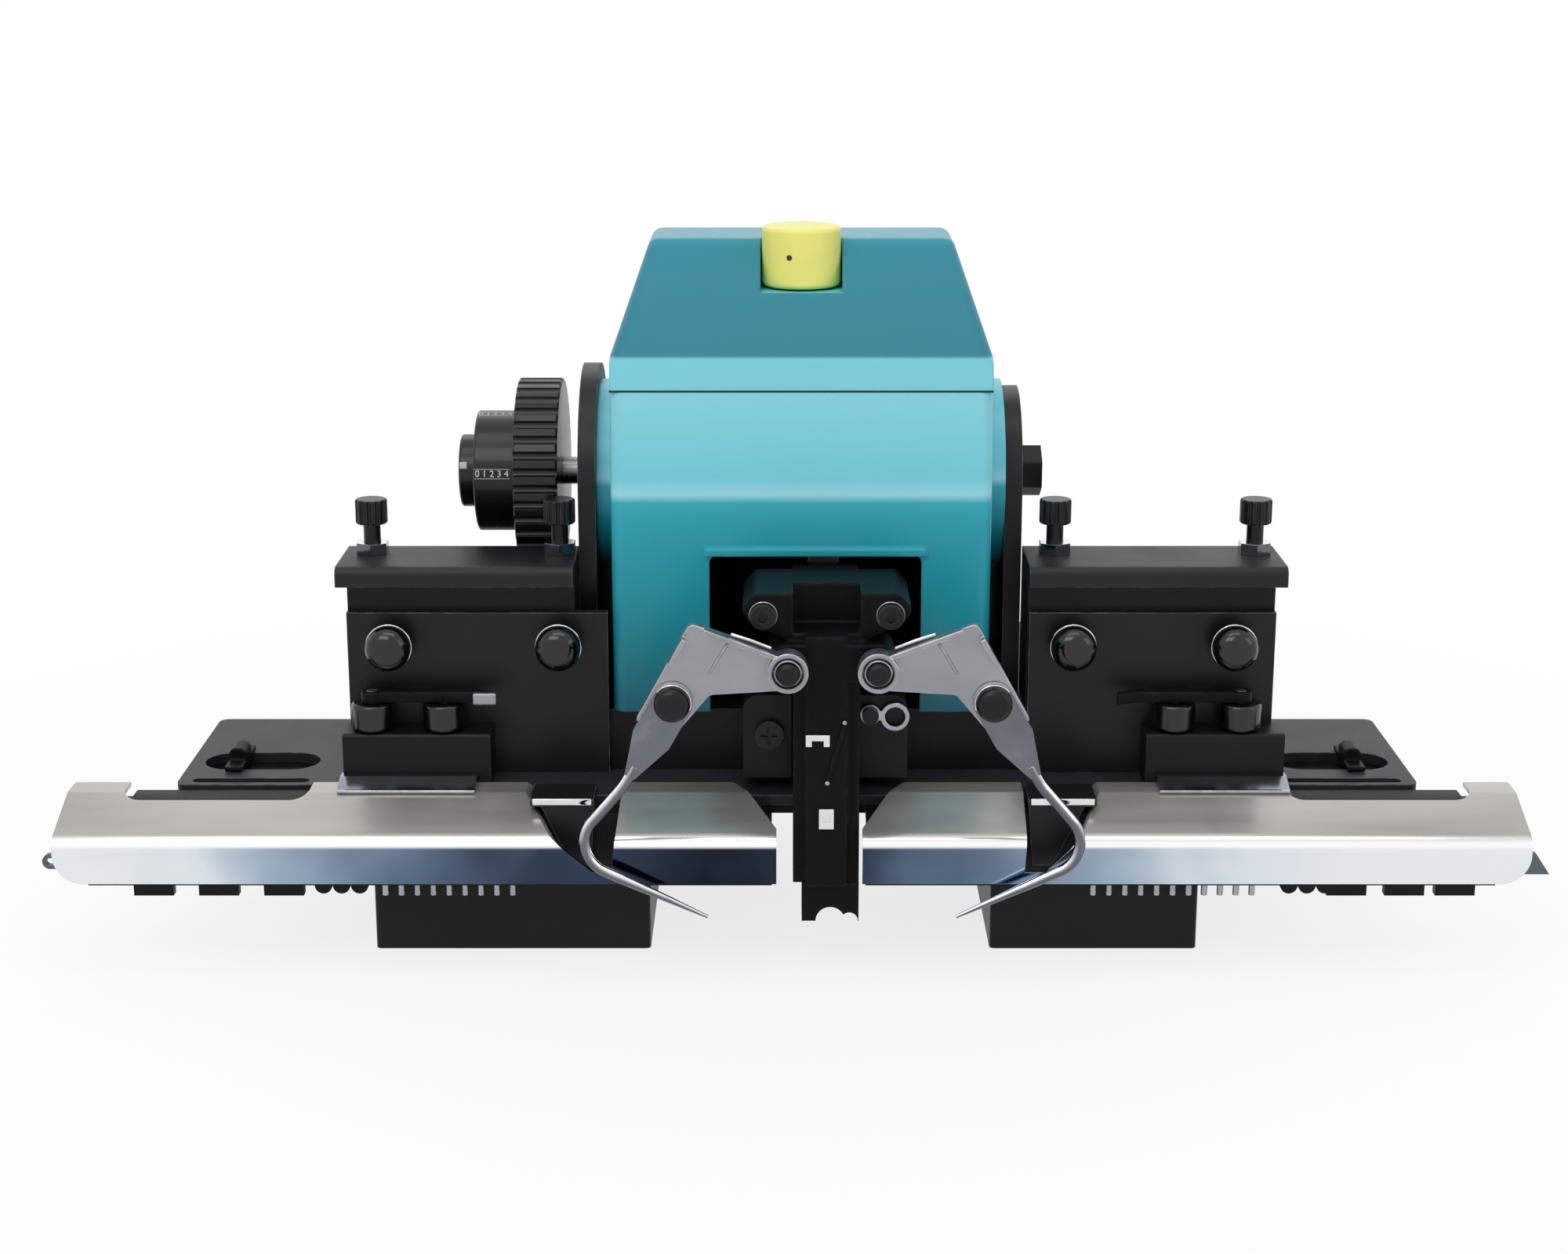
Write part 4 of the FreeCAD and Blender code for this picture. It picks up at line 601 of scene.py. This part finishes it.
# Folded crease, bright flange by the eye and arched rim of each arm, as points of x and z on its face
ARMS_MIDDLE = 9.3
PROUD = 0.02
ARM_FACE_Y = -68.3 - PROUD
FINGER_FACE_Y = -71.1 - PROUD
RIM_RADIUS = 5.0
head = (-33.2, 79.4)
crease = [(-18.2, 95.6), (-20.9, 91.2), (-23.4, 86.9)]
flange = [(-17.4, 97.6), (-12.2, 95.9), (-7.2, 93.9)]
arch = [(head[0] + RIM_RADIUS * math.cos(math.radians(a)),
         head[1] + RIM_RADIUS * math.sin(math.radians(a))) for a in range(-20, 148, 8)]


def on_side(side, points, y):
    """Points of the left arm, or mirrored for the right one."""
    return [(x if side == "left" else 2 * ARMS_MIDDLE - x, y, z) for x, z in points]


for side in ("left", "right"):
    smooth_piece(side + "_arm_crease", tube(on_side(side, crease, ARM_FACE_Y), 0.4), satin,
                 side + "_arm")
    smooth_piece(side + "_arm_flange", tube(on_side(side, flange, ARM_FACE_Y), 0.45), mirror,
                 side + "_arm")
    smooth_piece(side + "_finger_rim", tube(on_side(side, arch, FINGER_FACE_Y), 0.24), mirror,
                 side + "_finger")

# Steel rims round the screws in the slide's lobes, which stand in for the white crescent highlights
# there: painted highlights
screw_low, screw_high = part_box("lobe_screws")
screw_radius = (screw_high.z - screw_low.z) / 2 / MM
screw_z = (screw_low.z + screw_high.z) / 2 / MM
rim_y = screw_high.y / MM - 0.2
for side, x in (("left", screw_low.x / MM + screw_radius), ("right", screw_high.x / MM - screw_radius)):
    rim = ring((x, rim_y, screw_z), DEPTH_AXIS, screw_radius + 0.05, screw_radius + 0.5, 0.5)
    smooth_piece(side + "_lobe_highlight_ring", rim, nut_steel_painted_reflection, "slide")

# Slim bar and satin rivets on the front of the slide's post
bar = [(12.6, -62.1, 70.5), (10.4, -62.2, 63.0), (8.2, -62.1, 55.4)]
smooth_piece("post_bar", tube(bar, 0.8), slide_black, "slide")
for name, centre in (("upper", (12.6, -62.6, 71.6)), ("lower", (8.0, -62.6, 54.6))):
    smooth_piece("post_rivet_" + name, ring(centre, DEPTH_AXIS, 0.1, 0.6, 0.9, 24), satin, "slide")

# Chrome ring round each push knob, which stands in for the bright ring on its glossy dome: a painted
# highlight
RIM_FROM_FRONT = 6.4
for place in places:
    low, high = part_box(place + "_push_knob")
    centre = ((low.x + high.x) / 2 / MM, low.y / MM + RIM_FROM_FRONT, (low.z + high.z) / 2 / MM)
    smooth_piece(place + "_knob_highlight_ring", ring(centre, DEPTH_AXIS, 6.0, 6.5, 0.6, 64), mirror,
                 place + "_button")

# Return springs: each push knob's coil, cut from the springs' mesh as a piece of its own on the base
COIL_REACH = 5.0 * MM
for place in places:
    low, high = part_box(place + "_push_knob")
    middle = (low + high) / 2
    bm = bmesh.new()
    bm.from_mesh(nodes["button_springs"].data)
    others = [vert for vert in bm.verts if abs(vert.co.x - middle.x) > COIL_REACH]
    bmesh.ops.delete(bm, geom=others, context="VERTS")
    coil = smooth_piece(place + "_spring", bm, machined, "base")
    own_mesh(coil)
    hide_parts("button_springs")

# Black inserts in the scallops of the covers, which stand for the shade in the gap below them: painted
# shade
slit_shade_y, slit_shade_z = (-46.5, -36.6), (42.4, 44.2)
for side, slit_shade_x in (("left", (-184.5, -136.5)), ("right", (136.5, 184.5))):
    smooth_piece(side + "_slit_shade_insert", rounded_box(slit_shade_x, slit_shade_y, slit_shade_z, 0.6), rail_black, "base")


# Floor, light and camera, in metres

FLOOR_SIZE = 20.0
FLOOR_DROP = 0.0002
FADE_NEAR, FADE_FAR = 0.1, 0.4
FADE_START = 0.8
WORLD_LIGHT, WORLD_SHOWN = 0.5, 1.0


def shown_ray(tree):
    """1 for rays that show the background: seen straight, mirrored or through glass."""
    path = tree.nodes.new("ShaderNodeLightPath")
    total = path.outputs["Is Camera Ray"]
    for name in ("Is Glossy Ray", "Is Transmission Ray"):
        step = tree.nodes.new("ShaderNodeMath")
        step.operation = "MAXIMUM"
        tree.links.new(total, step.inputs[0])
        tree.links.new(path.outputs[name], step.inputs[1])
        total = step.outputs[0]
    return total


def floor():
    """Pale floor that fades to white away from the part."""
    bm = bmesh.new()
    bmesh.ops.create_grid(bm, x_segments=2, y_segments=2, size=FLOOR_SIZE)
    mesh = bpy.data.meshes.new("floor")
    bm.to_mesh(mesh)
    bm.free()
    made = bpy.data.objects.new("floor", mesh)
    made.location.z = -FLOOR_DROP
    bpy.context.scene.collection.objects.link(made)
    s = Shader("floor_pale")
    pale = s.ramp(s.noise(3.0, 3.0), [(0.35, (0.9, 0.9, 0.9, 1)), (0.65, (0.92, 0.92, 0.915, 1))])
    s.put(s.bsdf.inputs["Base Color"], pale)
    s.bsdf.inputs["Roughness"].default_value = 0.8
    far = s.node("ShaderNodeVectorMath", operation="LENGTH")
    s.link(s.coord, far.inputs[0])
    white = s.node("ShaderNodeEmission")
    white.inputs["Strength"].default_value = 1.0
    blend = s.node("ShaderNodeMixShader")
    fade = s.remap(far.outputs["Value"], FADE_NEAR, FADE_FAR, FADE_START, 1.0)
    s.link(s.math("MULTIPLY", fade, shown_ray(s.tree)), blend.inputs[0])
    s.link(s.bsdf.outputs[0], blend.inputs[1])
    s.link(white.outputs[0], blend.inputs[2])
    s.link(blend.outputs[0], s.tree.nodes["Material Output"].inputs["Surface"])
    mesh.materials.append(s.mat)


def area(name, place, aim, size, watts, tint=(1, 1, 1)):
    lamp = bpy.data.lights.new(name, "AREA")
    lamp.shape = "RECTANGLE"
    lamp.size, lamp.size_y = size
    lamp.energy = watts
    lamp.color = tint
    made = bpy.data.objects.new(name, lamp)
    made.location = place
    made.rotation_euler = (Vector(aim) - Vector(place)).to_track_quat("-Z", "Y").to_euler()
    bpy.context.scene.collection.objects.link(made)


floor()
area("key", (-0.4, -0.8, 0.95), (0, 0, 0.1), (0.8, 0.5), 3.6, (1.0, 0.99, 0.97))
area("fill", (0.95, -0.5, 0.55), (0, 0, 0.1), (0.5, 0.5), 1.0, (0.97, 0.98, 1.0))
area("top", (0.0, -0.25, 1.2), (0, 0, 0.1), (0.9, 0.4), 2.2)
area("rear", (0.0, 0.8, 0.8), (0, 0.0, 0.05), (1.0, 0.4), 1.2)

world = bpy.data.worlds.new("studio")
bpy.context.scene.world = world
world.use_nodes = True
backdrop = world.node_tree.nodes["Background"]
backdrop.inputs["Color"].default_value = WHITE
level = world.node_tree.nodes.new("ShaderNodeMapRange")
level.inputs["To Min"].default_value = WORLD_LIGHT
level.inputs["To Max"].default_value = WORLD_SHOWN
world.node_tree.links.new(shown_ray(world.node_tree), level.inputs["Value"])
world.node_tree.links.new(level.outputs["Result"], backdrop.inputs["Strength"])

eye = bpy.data.cameras.new("view")
eye.sensor_fit = "HORIZONTAL"
eye.sensor_width = 36.0
eye.lens = 61.2
camera = bpy.data.objects.new("view", eye)
camera.location = Vector((-3.64, -744.4, 280.8)) * MM
camera.rotation_euler = (math.radians(75.0), 0, 0)
bpy.context.scene.collection.objects.link(camera)
bpy.context.scene.camera = camera
bpy.context.scene.view_settings.view_transform = "Standard"
